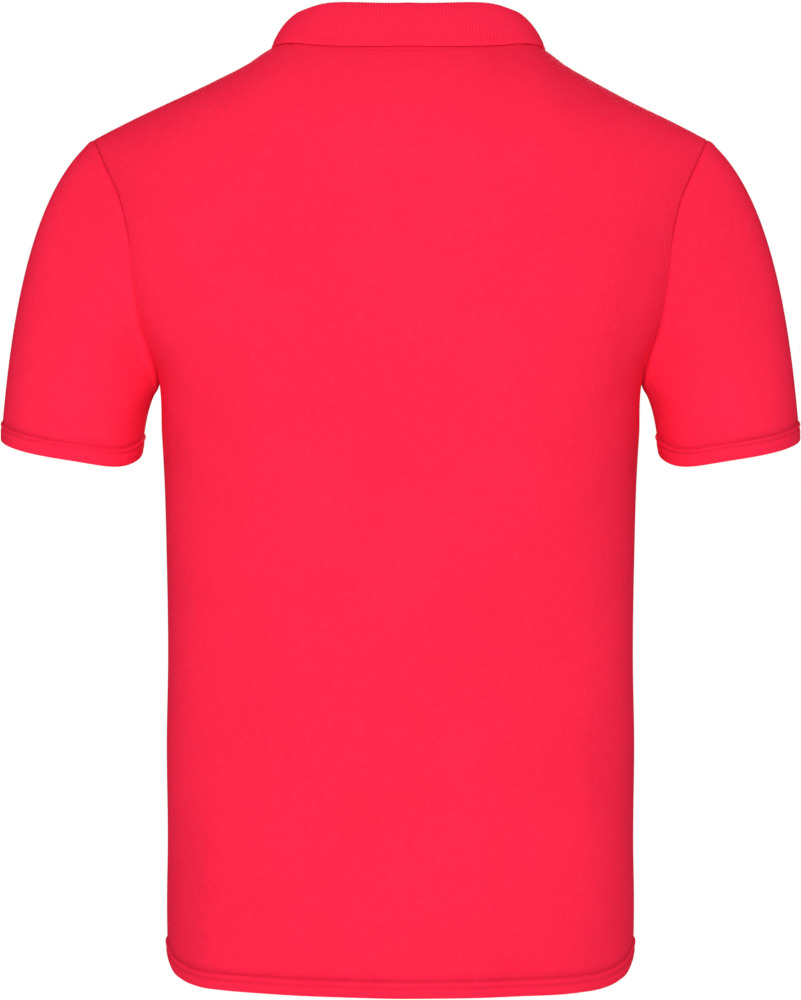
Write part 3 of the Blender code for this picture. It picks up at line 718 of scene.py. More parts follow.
def sleeve_loop(panels, sign):
    """The armhole's points and normals, from the shoulder tip down the back and up the front."""
    loops = []
    for side in (1, -1):
        grid, normals = panels[side]
        row = range(ARMHOLE_COLUMNS, -1, -1)
        picked = [k if sign > 0 else grid.shape[1] - 1 - k for k in row]
        loops.append([(grid[-1, k] - (0, side * SEAM_GAP / 2, 0), normals[-1, k]) for k in picked])
    loop = loops[0] + loops[1][-2:0:-1]
    return np.array([p for p, n in loop]), np.array([n for p, n in loop])


def bezier(handles, s):
    """The points at shares of a curve with four handles."""
    a, b, c, d = handles
    s = np.asarray(s)[:, None]
    return (1 - s) ** 3 * a + 3 * s * (1 - s) ** 2 * b + 3 * s * s * (1 - s) * c + s**3 * d


def sleeve(panels, sign):
    """The points and normals of one sleeve, as rings from the armhole to the cuff."""
    seam, panel_normals = sleeve_loop(panels, sign)
    count = len(seam)
    mirror = np.array((sign, 1, 1))
    seam, panel_normals = seam * mirror, panel_normals * mirror
    outer = np.array((CUFF_OUTER[0], CUFF_Y, CUFF_OUTER[1]))
    inner = np.array((CUFF_INNER[0], CUFF_Y, CUFF_INNER[1]))
    middle, out_axis = (outer + inner) / 2, (outer - inner) / 2
    back_axis = CUFF_HALF_DEPTH * unit((0, 1, -CUFF_BACK_DROP))
    down = -unit(np.cross(out_axis, back_axis))
    hollow = seam.mean(axis=0) + (ARMHOLE_REACH, 0, 0)
    columns = []
    for k in range(count):
        turn = 2 * math.pi * k / count
        across, along = math.cos(turn), math.sin(turn)
        leave = unit((0.70 + 0.09 * across, -0.12 * along, -0.70 + 0.08 * across))
        away = np.cross(seam[(k + 1) % count] - seam[k - 1], panel_normals[k])
        away = unit(away) * (1 if away @ (hollow - seam[k]) > 0 else -1)
        start = seam[k] + SEAM_GAP * unit(away + SEAM_LIFT * panel_normals[k])
        droop = CUFF_DROOP * math.exp(-(((math.degrees(turn) - CUFF_DROOP_TURN) / CUFF_DROOP_SPREAD) ** 2))
        end = middle + out_axis * across + back_axis * along - droop * UP
        length = np.linalg.norm(end - start)
        handles = (start, start + ARMHOLE_HANDLE * length * leave, end - CUFF_HANDLE * length * down, end)
        near, far = np.array(SEAM_ROWS) / length, 1 - np.array(CUFF_ROWS[::-1]) / length
        steps = np.concatenate([near, np.linspace(near[-1], far[0], SLEEVE_ROWS + 1)[1:-1], far])
        columns.append(bezier(handles, steps))
    grid = np.array(columns).transpose(1, 0, 2)
    normals = grid_normals(grid, grid - grid.mean(axis=1, keepdims=True), closed=True)
    return grid * mirror, normals * mirror


def share_armhole_normals(panels, sleeves):
    """Gives each armhole seam one direction for its edges, so that the walls on both sides stay apart."""
    for sign, (grid, normals) in sleeves.items():
        count = grid.shape[1]
        for k in range(count):
            side = 1 if k <= ARMHOLE_COLUMNS else -1
            step = ARMHOLE_COLUMNS - (k if side > 0 else count - k)
            for each in (1, -1) if k in (0, ARMHOLE_COLUMNS) else (side,):
                panel_grid, panel_normals = panels[each]
                at = step if sign > 0 else panel_grid.shape[1] - 1 - step
                both = panel_normals[-1, at] + normals[0, k]
                if k in (0, ARMHOLE_COLUMNS):
                    both[1] = 0
                panel_normals[-1, at] = unit(both)
            at = step if sign > 0 else panels[side][0].shape[1] - 1 - step
            normals[0, k] = panels[side][1][-1, at]


@lru_cache(maxsize=1)
def bare_forms():
    """The panels and sleeves before their creases, as {side or sign: (points, normals)}."""
    panels = {side: panel(side) for side in (1, -1)}
    sleeves = {sign: sleeve(panels, sign) for sign in (1, -1)}
    share_armhole_normals(panels, sleeves)
    return panels, sleeves


def hump(distance, centre, width):
    """A soft hump of height 1 round a centre."""
    return np.exp(-(((distance - centre) / width) ** 2))


def nearest(points, line):
    """How far each point of a grid is from the nearest of the points of a line."""
    flat = points.reshape(-1, 3)
    best = np.full(len(flat), np.inf)
    for chunk in np.array_split(line, max(1, len(line) // 40)):
        away = np.linalg.norm(flat[:, None] - chunk[None], axis=2).min(axis=1)
        best = np.minimum(best, away)
    return best.reshape(points.shape[:-1])


def edge_thickness(edge_rows, rows):
    """The cloth's thickness at each row of a grid that starts with a turned-up edge."""
    heights = np.append(edge_rows, np.ones(rows - len(edge_rows)))
    share = np.clip((heights - HEM_BAND) / HEM_STEP, 0, 1)
    return (HEM_CLOTH + (CLOTH - HEM_CLOTH) * share)[:, None, None]


def edge_profile(edge_rows, stitches, settings):
    """How far a turned-up edge stands out, and how shaded it is, at its rows."""
    height = np.array(edge_rows)[:, None]
    low, high = stitches
    groove, ridge = settings.stitch_groove, settings.hem_ridge
    marks = (
        # place, width, height
        (0.0, 0.0009, -0.0004),
        (low, 0.0009, -0.6 * groove),
        (high, 0.0009, -groove),
        ((low + high) / 2, 0.0014, ridge),
        (low - 0.0035, 0.0022, 0.5 * ridge),
    )
    # Painted shade in the two stitch grooves, and a soft painted shadow above the upper row where the turned-up edge
    # steps out.
    shades = (
        # place, width, strength
        (low, 0.0008, 0.48),
        (high, 0.0008, 0.8),
        (high + 0.0022, 0.0022, 0.25),
    )
    under = TURNED_LAYER * np.clip((high - height) / TURNED_FADE + 0.3, 0, 1)
    offset, shade = (sum(size * hump(height, place, width) for place, width, size in rows) for rows in (marks, shades))
    return under + offset, shade


def dressed_panel(side, settings):
    """A panel's points, normals, shade and cloth coordinates, with its creases, seams and hem."""
    grid, normals = bare_forms()[0][side]
    creases = [row[1:] for row in CREASES if row[0] == side]
    offset = settings.crease_depth * crease_offsets(grid[..., [0, 2]], creases)
    shade = np.zeros_like(offset)
    top, first, neck = grid[-1], ARMHOLE_COLUMNS, ARMHOLE_COLUMNS + SHOULDER_COLUMNS
    last = len(top) - 1
    armholes = top[: first + 1], top[last - first :]
    shoulders = top[first : neck + 1], top[last - neck : last - first + 1]
    # Each seam dips in and gets a thin line of painted shade along it.
    for seam, dip, dip_width, dark, dark_width in (
        (armholes, 1.0, 0.0016, 0.3, 0.0011),
        (shoulders, 0.5, 0.0014, 0.5, 0.0009),
        ((grid[:, 0], grid[:, last]), 0.4, 0.0014, 0.4, 0.0009),
    ):
        away = nearest(grid, np.concatenate(seam))
        offset -= dip * settings.seam_dip * hump(away, 0, dip_width)
        shade += dark * hump(away, 0, dark_width)
    if side > 0:
        # Painted shade of the needle holes along the row of stitches under the back of the collar.
        shade += 0.45 * hump(nearest(grid, top[neck : last - neck + 1]), NECK_STITCHES, 0.0009)
    hem, hem_shade = edge_profile(HEM_ROWS, HEM_STITCHES, settings)
    offset[: len(HEM_ROWS)] += hem
    shade[: len(HEM_ROWS)] += hem_shade
    places = cloth_places(side, grid[..., 0], grid[..., 2])
    return grid + normals * offset[..., None], normals, np.clip(shade, 0, 1), places


def cloth_places(side, x, z):
    """Metres along the cloth, across and up, at places on a panel."""
    fractions = np.cos(np.linspace(math.pi / 2, 0, 400)) ** (2 / FULLNESS)
    ring = body_points(side, fractions * half_width(YOKE_Z), np.full(400, YOKE_Z))
    share = x / half_width(z)
    across = np.sign(x) * np.interp(np.abs(share), fractions, run_along(ring)) * half_width(z) / half_width(YOKE_Z)
    levels = np.linspace(BODY[0][0] - 0.002, SHOULDER_LINE[0][1], 300)
    steps = np.linspace(0, 1, 21)
    up_run = run_along(body_points(side, steps * half_width(levels)[:, None], levels[:, None]))
    row = np.clip((z - levels[0]) / (levels[1] - levels[0]), 0, 298.999)
    col = np.clip(np.abs(share) * 20, 0, 19.999)
    r, c = row.astype(int), col.astype(int)
    fr, fc = row - r, col - c
    low = up_run[r, c] * (1 - fc) + up_run[r, c + 1] * fc
    high = up_run[r + 1, c] * (1 - fc) + up_run[r + 1, c + 1] * fc
    return together(across, low * (1 - fr) + high * fr)


def dressed_sleeve(sign, settings):
    """A sleeve's points, normals, shade and cloth coordinates, with its creases, seam roll and cuff."""
    grid, normals = bare_forms()[1][sign]
    rows, count = grid.shape[:2]
    down = run_along(grid)
    turn = 2 * math.pi * np.arange(count) / count
    offset = np.zeros((rows, count))
    mean_length = down[-1].mean()
    for owner, start_turn, start_down, end_turn, end_down, width, height in SLEEVE_CREASES:
        if owner == sign:
            start, end = math.radians(start_turn), math.radians(end_turn)
            lean = (start + end) / 2
            around = (turn - lean + math.pi) % (2 * math.pi) - math.pi + lean
            flat = together(around * SLEEVE_RADIUS, down / down[-1] * mean_length)
            line = (start * SLEEVE_RADIUS, start_down * mean_length, end * SLEEVE_RADIUS, end_down * mean_length)
            creases = crease_offsets(flat, [(*line, width, height)])
            offset += settings.crease_depth * creases
    offset *= np.clip(down / CREASE_START, 0, 1)
    offset += settings.sleeve_roll * hump(down, ROLL_PLACE, ROLL_WIDTH) - settings.seam_dip * hump(down, 0, 0.0014)
    # A thin line of painted shade along the armhole seam.
    shade = 0.3 * hump(down, 0, 0.0010)
    cuff, cuff_shade = edge_profile(CUFF_ROWS[::-1], CUFF_STITCHES, settings)
    offset[-len(CUFF_ROWS) :] += cuff
    shade[-len(CUFF_ROWS) :] += cuff_shade
    outer = grid + normals * offset[..., None]
    run = run_along(np.concatenate([grid, grid[:, :1]], axis=1), axis=1)
    level = (down[-1] - down).mean(axis=1)[:, None]
    return outer, normals, np.clip(shade, 0, 1), together(run, level)


def wall_faces(rows, columns, closed, left_out):
    """The corners of a closed wall between two like grids, as (row, column, layer), each face in a row."""
    across = columns if closed else columns - 1
    present = np.ones((rows - 1, across), bool)
    for r, c in left_out:
        present[r, c] = False
    around = np.pad(present, 1)
    if closed:
        around[1:-1, 0], around[1:-1, -1] = present[:, -1], present[:, 0]
    r, c = np.nonzero(present)
    ring = ((r, c), (r, c + 1), (r + 1, c + 1), (r + 1, c))
    faces = [[(*ring[i], 0) for i in range(4)], [(*ring[i], 1) for i in (3, 2, 1, 0)]]
    for k, (dr, dc) in enumerate(((-1, 0), (0, 1), (1, 0), (0, -1))):
        open_side = ~around[r + 1 + dr, c + 1 + dc]
        a = tuple(part[open_side] for part in ring[k])
        b = tuple(part[open_side] for part in ring[(k + 1) % 4])
        faces.append([(*b, 0), (*a, 0), (*a, 1), (*b, 1)])
    return np.concatenate([np.stack([together(*corner) for corner in face], axis=1) for face in faces])


def cloth_wall(name, outer, inner, places, shade, closed=False, left_out=()):
    """A closed wall of cloth as an object, with its cloth coordinates and its shade."""
    rows, columns = outer.shape[:2]
    corners = wall_faces(rows, columns, closed, left_out)
    index = corners[..., 2] * rows * columns + corners[..., 0] * columns + corners[..., 1] % columns
    used, faces = np.unique(index, return_inverse=True)
    points = np.concatenate([outer.reshape(-1, 3), inner.reshape(-1, 3)])[used]
    shades = np.tile(np.broadcast_to(shade, (rows, columns)).reshape(-1), 2)[used]
    coordinates = places[corners[..., 0], corners[..., 1]]
    return mesh_object(name, points, faces.reshape(-1, 4), coordinates.reshape(-1, 2), shades)


def mesh_object(name, points, faces, coordinates=None, shades=None, sharp=50):
    """A new smooth-shaded object, in place of an older one with its name."""
    if name in bpy.data.objects:
        bpy.data.objects.remove(bpy.data.objects[name])
    mesh = bpy.data.meshes.new(name)
    mesh.from_pydata(np.asarray(points).tolist(), [], [list(map(int, face)) for face in faces])
    if coordinates is not None:
        layer = mesh.uv_layers.new(name="cloth")
        layer.data.foreach_set("uv", np.ascontiguousarray(coordinates, np.float32).ravel())
    if shades is not None:
        attribute = mesh.attributes.new("shade", "FLOAT", "POINT")
        attribute.data.foreach_set("value", np.ascontiguousarray(shades, np.float32))
    shape = bmesh.new()
    shape.from_mesh(mesh)
    bmesh.ops.recalc_face_normals(shape, faces=shape.faces)
    shape.to_mesh(mesh)
    shape.free()
    mesh.shade_smooth()
    mesh.set_sharp_from_angle(angle=math.radians(sharp))
    made = bpy.data.objects.new(name, mesh)
    bpy.context.scene.collection.objects.link(made)
    return made


def dress(piece, material, slot, node=None):
    """Gives a piece its material and its place in the part."""
    piece.data.materials.clear()
    piece.data.materials.append(material)
    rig.ride(piece, "root")
    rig.slot(piece, slot)
    if node:
        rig.replaces(piece, node)
    return piece


def declare_cut(piece, held, rests_on, with_pieces=()):
    """Declares a piece as a cloth sheet with its cut."""
    width, length, area = CUTS[piece.name]
    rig.sheet(piece, flat=(width, length), held=held, rests_on=rests_on, area=area, with_pieces=list(with_pieces))


def one_stitch(centre, along, out, length, radius):
    """The points of one stitch, ring by ring."""
    side = unit(np.cross(along, out))
    out = np.cross(side, along)
    turns = 2 * math.pi * np.arange(STITCH_SIDES)[:, None] / STITCH_SIDES
    rings = []
    for share, size in STITCH_RINGS:
        middle = centre + share * length * along + radius * (0.35 + 0.25 * size) * out
        rings.append(middle + radius * size * (np.cos(turns) * side + 0.7 * np.sin(turns) * out))
    return np.concatenate(rings)


def stitches(name, runs, length, pitch, radius):
    """Rows of thread stitches as one mesh. Each run is a line of points with the way out of the cloth at each."""
    count = len(STITCH_RINGS) * STITCH_SIDES
    ring = range(STITCH_SIDES)
    pattern = [tuple(ring), tuple(count - 1 - k for k in ring)]
    for low in range(0, count - STITCH_SIDES, STITCH_SIDES):
        high = low + STITCH_SIDES
        pattern += [(low + k, low + (k + 1) % STITCH_SIDES, high + (k + 1) % STITCH_SIDES, high + k) for k in ring]
    points, faces = [], []
    for line, outs in runs:
        run = run_along(line)
        number = max(1, int(run[-1] / pitch))
        for where in (np.arange(number) + 0.5) * run[-1] / number:
            start, end = (place_at(where + share * length, run, line) for share in (-0.5, 0.5))
            out = unit(place_at(where, run, outs))
            faces += [tuple(len(points) * count + k for k in face) for face in pattern]
            points.append(one_stitch((start + end) / 2, unit(end - start), out, length, radius))
    return mesh_object(name, np.concatenate(points), faces, sharp=70)


def sewn(name, runs, settings, **sizes):
    """Rows of stitches in sewing thread, in the settings' sizes or in their own."""
    usual = {"length": settings.stitch_length, "pitch": settings.stitch_pitch, "radius": settings.thread_radius}
    return dress(stitches(name, runs, **{**usual, **sizes}), thread_material(), "pique")


def line_on_grid(outer, normals, row, closed=False):
    """A row of a grid as a run for stitches, starting again at its first point where it is closed."""
    picked = list(range(outer.shape[1])) + ([0] if closed else [])
    return outer[row, picked], normals[row, picked]


# The folded collar


def neck_rings(angles):
    """The neck seam's points at angles in degrees from the middle of the back, and the ways out from it."""
    on_back = np.abs(angles) <= 90
    back = body_points(1, *neck_place(1, np.where(on_back, angles, 0.0)))
    turned = np.copysign(180 - np.abs(angles), angles)
    front = body_points(-1, *neck_place(-1, np.where(on_back, 0.0, turned)))
    points = np.where(on_back[:, None], back, front)
    turn = np.radians(angles)
    return points, together(np.sin(turn), np.cos(turn), 0.0)


def on_chest(points, share):
    """Moves points of a leaf out of the front, so that the leaf lies over the cloth under it."""
    x, y, z = points.T
    chest = body_points(-1, x, z)[:, 1] - LEAF_CLEARANCE - COLLAR_CLOTH * share
    over = (z < shoulder_at(x)) & (y < 0)
    return together(x, np.where(over, np.minimum(y, chest), y), z)


def behind(size):
    """1 round the back of the neck, falling to 0 where the leaf turns on to the chest."""
    return rounded_step(np.clip((125 - size) / 30, 0, 1))


def settled(edge, out, size):
    """Moves the leaf's edge down over the shoulders and in behind the neck, until it lies on the cloth."""
    heights = shoulder_at(edge[:, 0]) - np.linspace(0, SETTLE_HEIGHT, 161)[:, None]
    back, front = (body_points(side, edge[:, 0], heights)[..., 1].T for side in (1, -1))
    under = np.where(edge[:, 1:2] >= 0, back, front)[:, None]
    turn = np.clip(size / 90, 0, 1)[:, None] * math.pi / 2
    way = -out * np.cos(turn) ** 2 - UP * np.sin(turn) ** 2
    steps = np.linspace(0, SETTLE_REACH, 41)
    moved = (edge[:, None] + steps[:, None] * way[:, None])[:, :, None]
    away = np.hypot(moved[..., 1] - under, moved[..., 2] - heights.T[:, None]).min(axis=2)
    reach = np.array([np.interp(-EDGE_CLEARANCE, -line, steps) for line in np.minimum.accumulate(away, axis=1)])
    evened = np.ones(2 * SETTLE_EASE + 1) / (2 * SETTLE_EASE + 1)
    reach = np.convolve(np.pad(reach, SETTLE_EASE, mode="edge"), evened, mode="valid")
    return edge + way * (reach * behind(size))[:, None]


def collar_lines(angles):
    """The middle of the collar's cloth at each angle, from the neck seam over the fold to the edge of the leaf."""
    size = np.abs(angles)
    seam, out = neck_rings(angles)
    along = unit(neck_rings(angles + 1)[0] - neck_rings(angles - 1)[0])
    seam = seam + COLLAR_RISE * unit(UP - along[:, 2:] * along)
    fold = seam + out * fold_lean(size)[:, None] + UP * stand_rise(size)[:, None]
    slide = together(np.copysign(edge_slide(size), angles), 0.0, -edge_drop(size))
    edge = settled(seam + out * edge_out(size)[:, None] + slide, out, size)
    centre = fold + (out - UP) * FOLD_RADIUS
    apart = edge - centre
    last_bend = np.arctan2(-apart[:, 2], (apart * out).sum(axis=1)) - LEAF_ROUNDING
    share = behind(size)[:, None]
    last_bend = math.pi / 2 + share * (np.clip(last_bend, 0.5, math.pi / 2)[:, None] - math.pi / 2)
    stand_top = centre - out * FOLD_RADIUS
    leaf_top = centre + FOLD_RADIUS * (np.sin(last_bend) * out + np.cos(last_bend) * UP)
    reach = 0.45 * np.linalg.norm(edge - leaf_top, axis=1)[:, None]
    bow = leaf_top + reach * (np.cos(last_bend) * out - np.sin(last_bend) * UP)
    straight = (leaf_top + edge) / 2 + out * LEAF_BOW
    middle = on_chest(straight + share * ((leaf_top + 2 * bow + edge) / 4 - straight), 0.5)
    edge = on_chest(edge, 1.0)
    bow = 2 * middle - (leaf_top + edge) / 2
    stand, turns, leaf = (np.linspace(0, 1, rows + 1) for rows in (STAND_ROWS, FOLD_ROWS, LEAF_ROWS))
    lines = [seam + (stand_top - seam) * s - out * STAND_BOW * math.sin(math.pi * s) for s in stand[:-1]]
    for bend in (-math.pi / 2 + (last_bend + math.pi / 2) * s for s in turns):
        lines.append(centre + FOLD_RADIUS * (np.sin(bend) * out + np.cos(bend) * UP))
    lines += [(1 - s) ** 2 * leaf_top + 2 * s * (1 - s) * bow + s * s * edge for s in leaf[1:]]
    return np.array(lines), out


def collar_grid(settings):
    """The collar's two faces, its cloth coordinates and its shade."""
    rough = np.linspace(-COLLAR_END, COLLAR_END, 721)
    fold_row = STAND_ROWS + FOLD_ROWS // 2
    run = run_along(collar_lines(rough)[0][fold_row])
    columns = settings.ribs * RIB_COLUMNS
    angles = np.interp(np.linspace(0, run[-1], columns + 1), run, rough)
    grid, out = collar_lines(angles)
    outwards = np.where(np.arange(len(grid)) < fold_row, -1, 1)[:, None, None]
    normals = grid_normals(grid, out * outwards + 0.3 * UP)
    normals[:STAND_ROWS] = -out
    lengths = run_along(grid)
    from_edge = lengths[-1] - lengths
    wave = 0.5 - 0.5 * np.cos(2 * math.pi * np.arange(columns + 1) / RIB_COLUMNS)
    strength = 1 - 0.75 * hump(from_edge, BORDER, 0.0008) - 0.35 * (from_edge < BORDER)
    strength = strength * np.clip(from_edge / 0.0010, 0.15, 1)
    ridge = settings.rib_height * (wave * strength - 0.5) - BORDER_GROOVE * hump(from_edge, BORDER, 0.0007)
    rounded = 1 - 0.6 * (1 - np.clip(from_edge / 0.0012, 0, 1)) ** 2
    convex = grid + normals * (rounded * COLLAR_CLOTH / 2 + ridge)[..., None]
    concave = grid - normals * (COLLAR_CLOTH / 2 + 0.5 * settings.rib_height * (wave - 0.5))[..., None]
    # Painted shade in the valleys between the ribs and along the groove of the border.
    shade = 0.72 * (1 - wave) * strength + 0.8 * hump(from_edge, BORDER, 0.0006)
    across = np.linspace(0, run[-1], columns + 1)
    return convex, concave, together(across, lengths), np.clip(shade, 0, 1)


# The placket


@lru_cache(maxsize=1)
def slit_heights():
    """The lowest and highest points of the slit in the front."""
    grid = bare_forms()[0][-1][0]
    middle = grid.shape[1] // 2 - 1
    first = grid.shape[0] - 1 - UPPER_ROWS + round(UPPER_ROWS * SLIT_SHARE)
    return first, middle, float(grid[first, middle, 2]), float(grid[-1, middle, 2])


def band_grid(left, right, heights, moved_out, edge_stitch, settings):
    """A placket band's points and normals between two edges, moved out of the front."""
    x, z = np.meshgrid(np.linspace(left, right, BAND_COLUMNS + 1), heights)
    grid = body_points(-1, x, z)
    normals = grid_normals(grid, np.broadcast_to((0, -1.0, 0), grid.shape))
    from_edge = np.minimum(np.abs(x - left), np.abs(x - right))
    offset = moved_out - BAND_ROUNDING * hump(from_edge, 0, 0.0007)
    # Painted shade along the band's rounded edges and in its stitch groove.
    shade = 0.6 * hump(from_edge, 0, 0.0006)
    if edge_stitch:
        offset -= 0.6 * settings.stitch_groove * hump(from_edge, edge_stitch, 0.0008)
        shade += 0.7 * hump(from_edge, edge_stitch, 0.0007)
    return grid + normals * offset[..., None], normals, shade, together(x, z)


# Materials


def linear(colour):
    """An sRGB colour of 0 to 255 as linear light, with its alpha."""
    return (*(((c / 255 + 0.055) / 1.055) ** 2.4 for c in colour), 1.0)


class Finish:
    """A material with an emptied tree, its shader and the nodes that feed it."""

    def __init__(self, name):
        self.material = bpy.data.materials.get(name) or bpy.data.materials.new(name)
        self.material.use_nodes = True
        self.tree = self.material.node_tree
        self.tree.nodes.clear()
        output = self.tree.nodes.new("ShaderNodeOutputMaterial")
        self.shader = self.tree.nodes.new("ShaderNodeBsdfPrincipled")
        self.tree.links.new(self.shader.outputs["BSDF"], output.inputs["Surface"])
        self.spot = self.add("ShaderNodeTexCoord").node.outputs["Object"]

    def feed(self, socket, value):
        """Links another node's socket to a socket, or gives it a value."""
        if isinstance(value, bpy.types.NodeSocket):
            self.tree.links.new(value, socket)
        elif value is not None:
            socket.default_value = value

    def give(self, values):
        for name, value in values.items():
            self.feed(self.shader.inputs[name], value)

    def add(self, kind, *inputs, **settings):
        """A new node's first output, with its inputs fed in their order."""
        node = self.tree.nodes.new(kind)
        for key, value in settings.items():
            setattr(node, key, value)
        for number, value in enumerate(inputs):
            self.feed(node.inputs[number], value)
        return node.outputs[0]

    def maths(self, operation, *values):
        return self.add("ShaderNodeMath", *values, operation=operation)

    def wave(self, value, repeat):
        """A wave of that repeat along a coordinate in metres."""
        return self.maths("COSINE", self.maths("MULTIPLY", value, 2 * math.pi / repeat))

    def noise(self, scale, detail, roughness):
        return self.add("ShaderNodeTexNoise", self.spot, None, scale, detail, roughness)

    def ramp(self, value, low, high, new_low, new_high):
        """A value moved from one range to another, and kept in it."""
        return self.add("ShaderNodeMapRange", value, low, high, new_low, new_high, clamp=True)

    def blend(self, share, first, second):
        """Two colours mixed by a share. Each is a socket, sRGB of 0 to 255, or linear light with its alpha."""
        mix = self.add("ShaderNodeMix", data_type="RGBA").node
        for number, value in ((0, share), (6, first), (7, second)):
            plain = isinstance(value, tuple) and len(value) == 3
            self.feed(mix.inputs[number], linear(value) if plain else value)
        return mix.outputs[2]

    def layered(self, colour, *layers):
        """A colour under others. A layer is a pattern, its low and high, its share at each, and its colour."""
        for pattern, low, high, low_share, high_share, other in layers:
            colour = self.blend(self.ramp(pattern, low, high, low_share, high_share), colour, other)
        return colour

    def cloth_places(self):
        """The cloth's own coordinates, across and up, in metres."""
        parts = self.add("ShaderNodeSeparateXYZ", self.add("ShaderNodeUVMap", uv_map="cloth")).node
        return parts.outputs[0], parts.outputs[1]

    # The painted shade that the mesh carries at seams, stitch rows, grooves, band edges and rib valleys.
    def shade(self):
        return self.add("ShaderNodeAttribute", attribute_name="shade").node.outputs["Fac"]

    def cotton(self, colour, roughness, height, strength, distance):
        """Finishes the material with its colour, its bumps and the soft sheen that all the cotton has."""
        bump = self.add("ShaderNodeBump").node
        for name, value in (("Strength", strength), ("Distance", distance), ("Height", height)):
            self.feed(bump.inputs[name], value)
        self.give({"Base Color": colour, "Roughness": roughness, "Normal": bump.outputs[0], **COTTON_GLOSS})
        return self.material


def pique_material(settings):
    """Cotton pique: offset raised cells with painted shade in the small dents between them, painted shade along its
    seams and stitch rows, fine fibres and a soft sheen.
    """
    finish = Finish("pique_cotton")
    across, up = finish.cloth_places()
    waves = finish.wave(across, settings.pique_width), finish.wave(up, settings.pique_height)
    cells = finish.ramp(finish.maths("MULTIPLY", *waves), -1.0, 0.55, 0.0, 1.0)
    fibre = finish.noise(1500.0, 3.0, 0.6)
    mottle, fleck = finish.noise(9.0, 3.0, 0.5), finish.noise(160.0, 2.0, 0.6)
    # The dents between the cells get painted shade; the fibres, mottle and flecks are the cotton's own random tones.
    colour = finish.layered(
        PIQUE_COLOUR,
        (cells, 0.0, 0.8, 0.30, 0.0, PIQUE_SHADE_AND_MOTTLE),
        (fibre, 0.3, 0.7, 0.0, 0.10, PIQUE_LIGHT),
        (mottle, 0.38, 0.62, 0.0, 0.13, PIQUE_SHADE_AND_MOTTLE),
        (fleck, 0.45, 0.75, 0.0, 0.06, PIQUE_LIGHT),
    )
    # Painted shade along seams and stitch rows, broken into dots at the stitch pitch where the needle holes are.
    needle_hole_shade = finish.ramp(finish.wave(across, settings.stitch_pitch), -1.0, 1.0, 0.45, 0.80)
    colour = finish.blend(finish.maths("MULTIPLY", finish.shade(), needle_hole_shade), colour, SEAM_SHADE)
    relief = finish.maths("ADD", cells, finish.maths("MULTIPLY", fibre, 0.22))
    return finish.cotton(colour, 0.82, relief, 0.55, settings.pique_relief)


def rib_material():
    """Flat-knit rib: the ribs are in the mesh, and small loops run along each of them. Their valleys and the dips
    between the loops get painted shade.
    """
    finish = Finish("rib_knit_cotton")
    loops = finish.wave(finish.cloth_places()[1], LOOP_HEIGHT)
    fibre, mottle = finish.noise(1600.0, 3.0, 0.6), finish.noise(30.0, 3.0, 0.5)
    # Painted shade in the rib valleys and between the loops; the fibres and mottle are the knit's own random tones.
    painted_valley_shade = finish.maths("MULTIPLY", finish.shade(), 0.6)
    colour = finish.layered(
        finish.blend(painted_valley_shade, RIB_COLOUR, PIQUE_SHADE_AND_MOTTLE),
        (loops, -1.0, 0.2, 0.10, 0.0, PIQUE_SHADE_AND_MOTTLE),
        (fibre, 0.3, 0.7, 0.0, 0.12, PIQUE_LIGHT),
        (mottle, 0.35, 0.65, 0.0, 0.08, PIQUE_SHADE_AND_MOTTLE),
    )
    relief = finish.maths("ADD", loops, finish.maths("MULTIPLY", fibre, 0.5))
    return finish.cotton(colour, 0.84, relief, 0.5, LOOP_RELIEF)


def thread_material():
    """Sewing thread in the shirt's colour, smoother than the cotton, with a fine twist."""
    finish = Finish("sewing_thread")
    twist = finish.noise(2400.0, 2.0, 0.5)
    colour = finish.layered(THREAD_COLOUR, (twist, 0.35, 0.65, 0.0, 0.6, PIQUE_SHADE_AND_MOTTLE))
    return finish.cotton(colour, 0.55, twist, 0.4, TWIST_RELIEF)


def button_material():
    """Dyed resin: a clouded body with fine swirls under a soft gloss."""
    finish = Finish("dyed_resin")
    cloud = finish.noise(260.0, 4.0, 0.55)
    swirl = finish.add("ShaderNodeTexWave", finish.spot, 90.0, 6.0, 3.0)
    colour = finish.layered(
        BUTTON_COLOUR,
        (cloud, 0.35, 0.7, 0.0, 0.6, BUTTON_PEARL),
        (swirl, 0.3, 1.0, 0.0, 0.18, BUTTON_PEARL),
    )
    rough = finish.ramp(cloud, 0.3, 0.7, 0.36, 0.48)
    finish.give({"Base Color": colour, "Roughness": rough, "Coat Weight": 0.12, "Coat Roughness": 0.2})
    return finish.material


# The add-on


def metres(name, description, default):
    """A length among the settings."""
    return FloatProperty(name=name, description=description, default=default, unit="LENGTH", precision=5)


class POLO_PG_settings(bpy.types.PropertyGroup):
    """Sizes of the shirt's finer detail."""

    crease_depth: FloatProperty(
        name="Crease depth", description="Depth of the finer creases, against the table", default=1.5, min=0.0, max=3.0
    )
    seam_dip: metres("Seam dip", "How far the cloth dips at a seam", 0.0007)
    sleeve_roll: metres("Sleeve roll", "How far the sleeve stands out beside its armhole seam", 0.0005)
    hem_ridge: metres("Hem ridge", "Height of the ridge between two rows of stitches", 0.0009)
    stitch_groove: metres("Stitch groove", "How deep a row of stitches pulls the cloth in", 0.00045)
    stitch_length: metres("Stitch length", "Length of one stitch", 0.0024)
    stitch_pitch: metres("Stitch pitch", "Distance from one stitch to the next", 0.0032)
    thread_radius: metres("Thread radius", "Radius of the sewing thread", 0.00026)
    ribs: IntProperty(name="Ribs", description="Number of ribs round the collar", default=250, min=50, max=400)
    rib_height: metres("Rib height", "How far the ribs stand out", 0.00042)
    pique_width: metres("Pique width", "Repeat of the pique across", 0.00205)
    pique_height: metres("Pique height", "Repeat of the pique upward", 0.0027)
    pique_relief: metres("Pique relief", "How deep the dents of the pique are", 0.00035)
    light: FloatProperty(name="Light", description="Strength of the studio light", default=1.0, min=0.0, max=5.0)


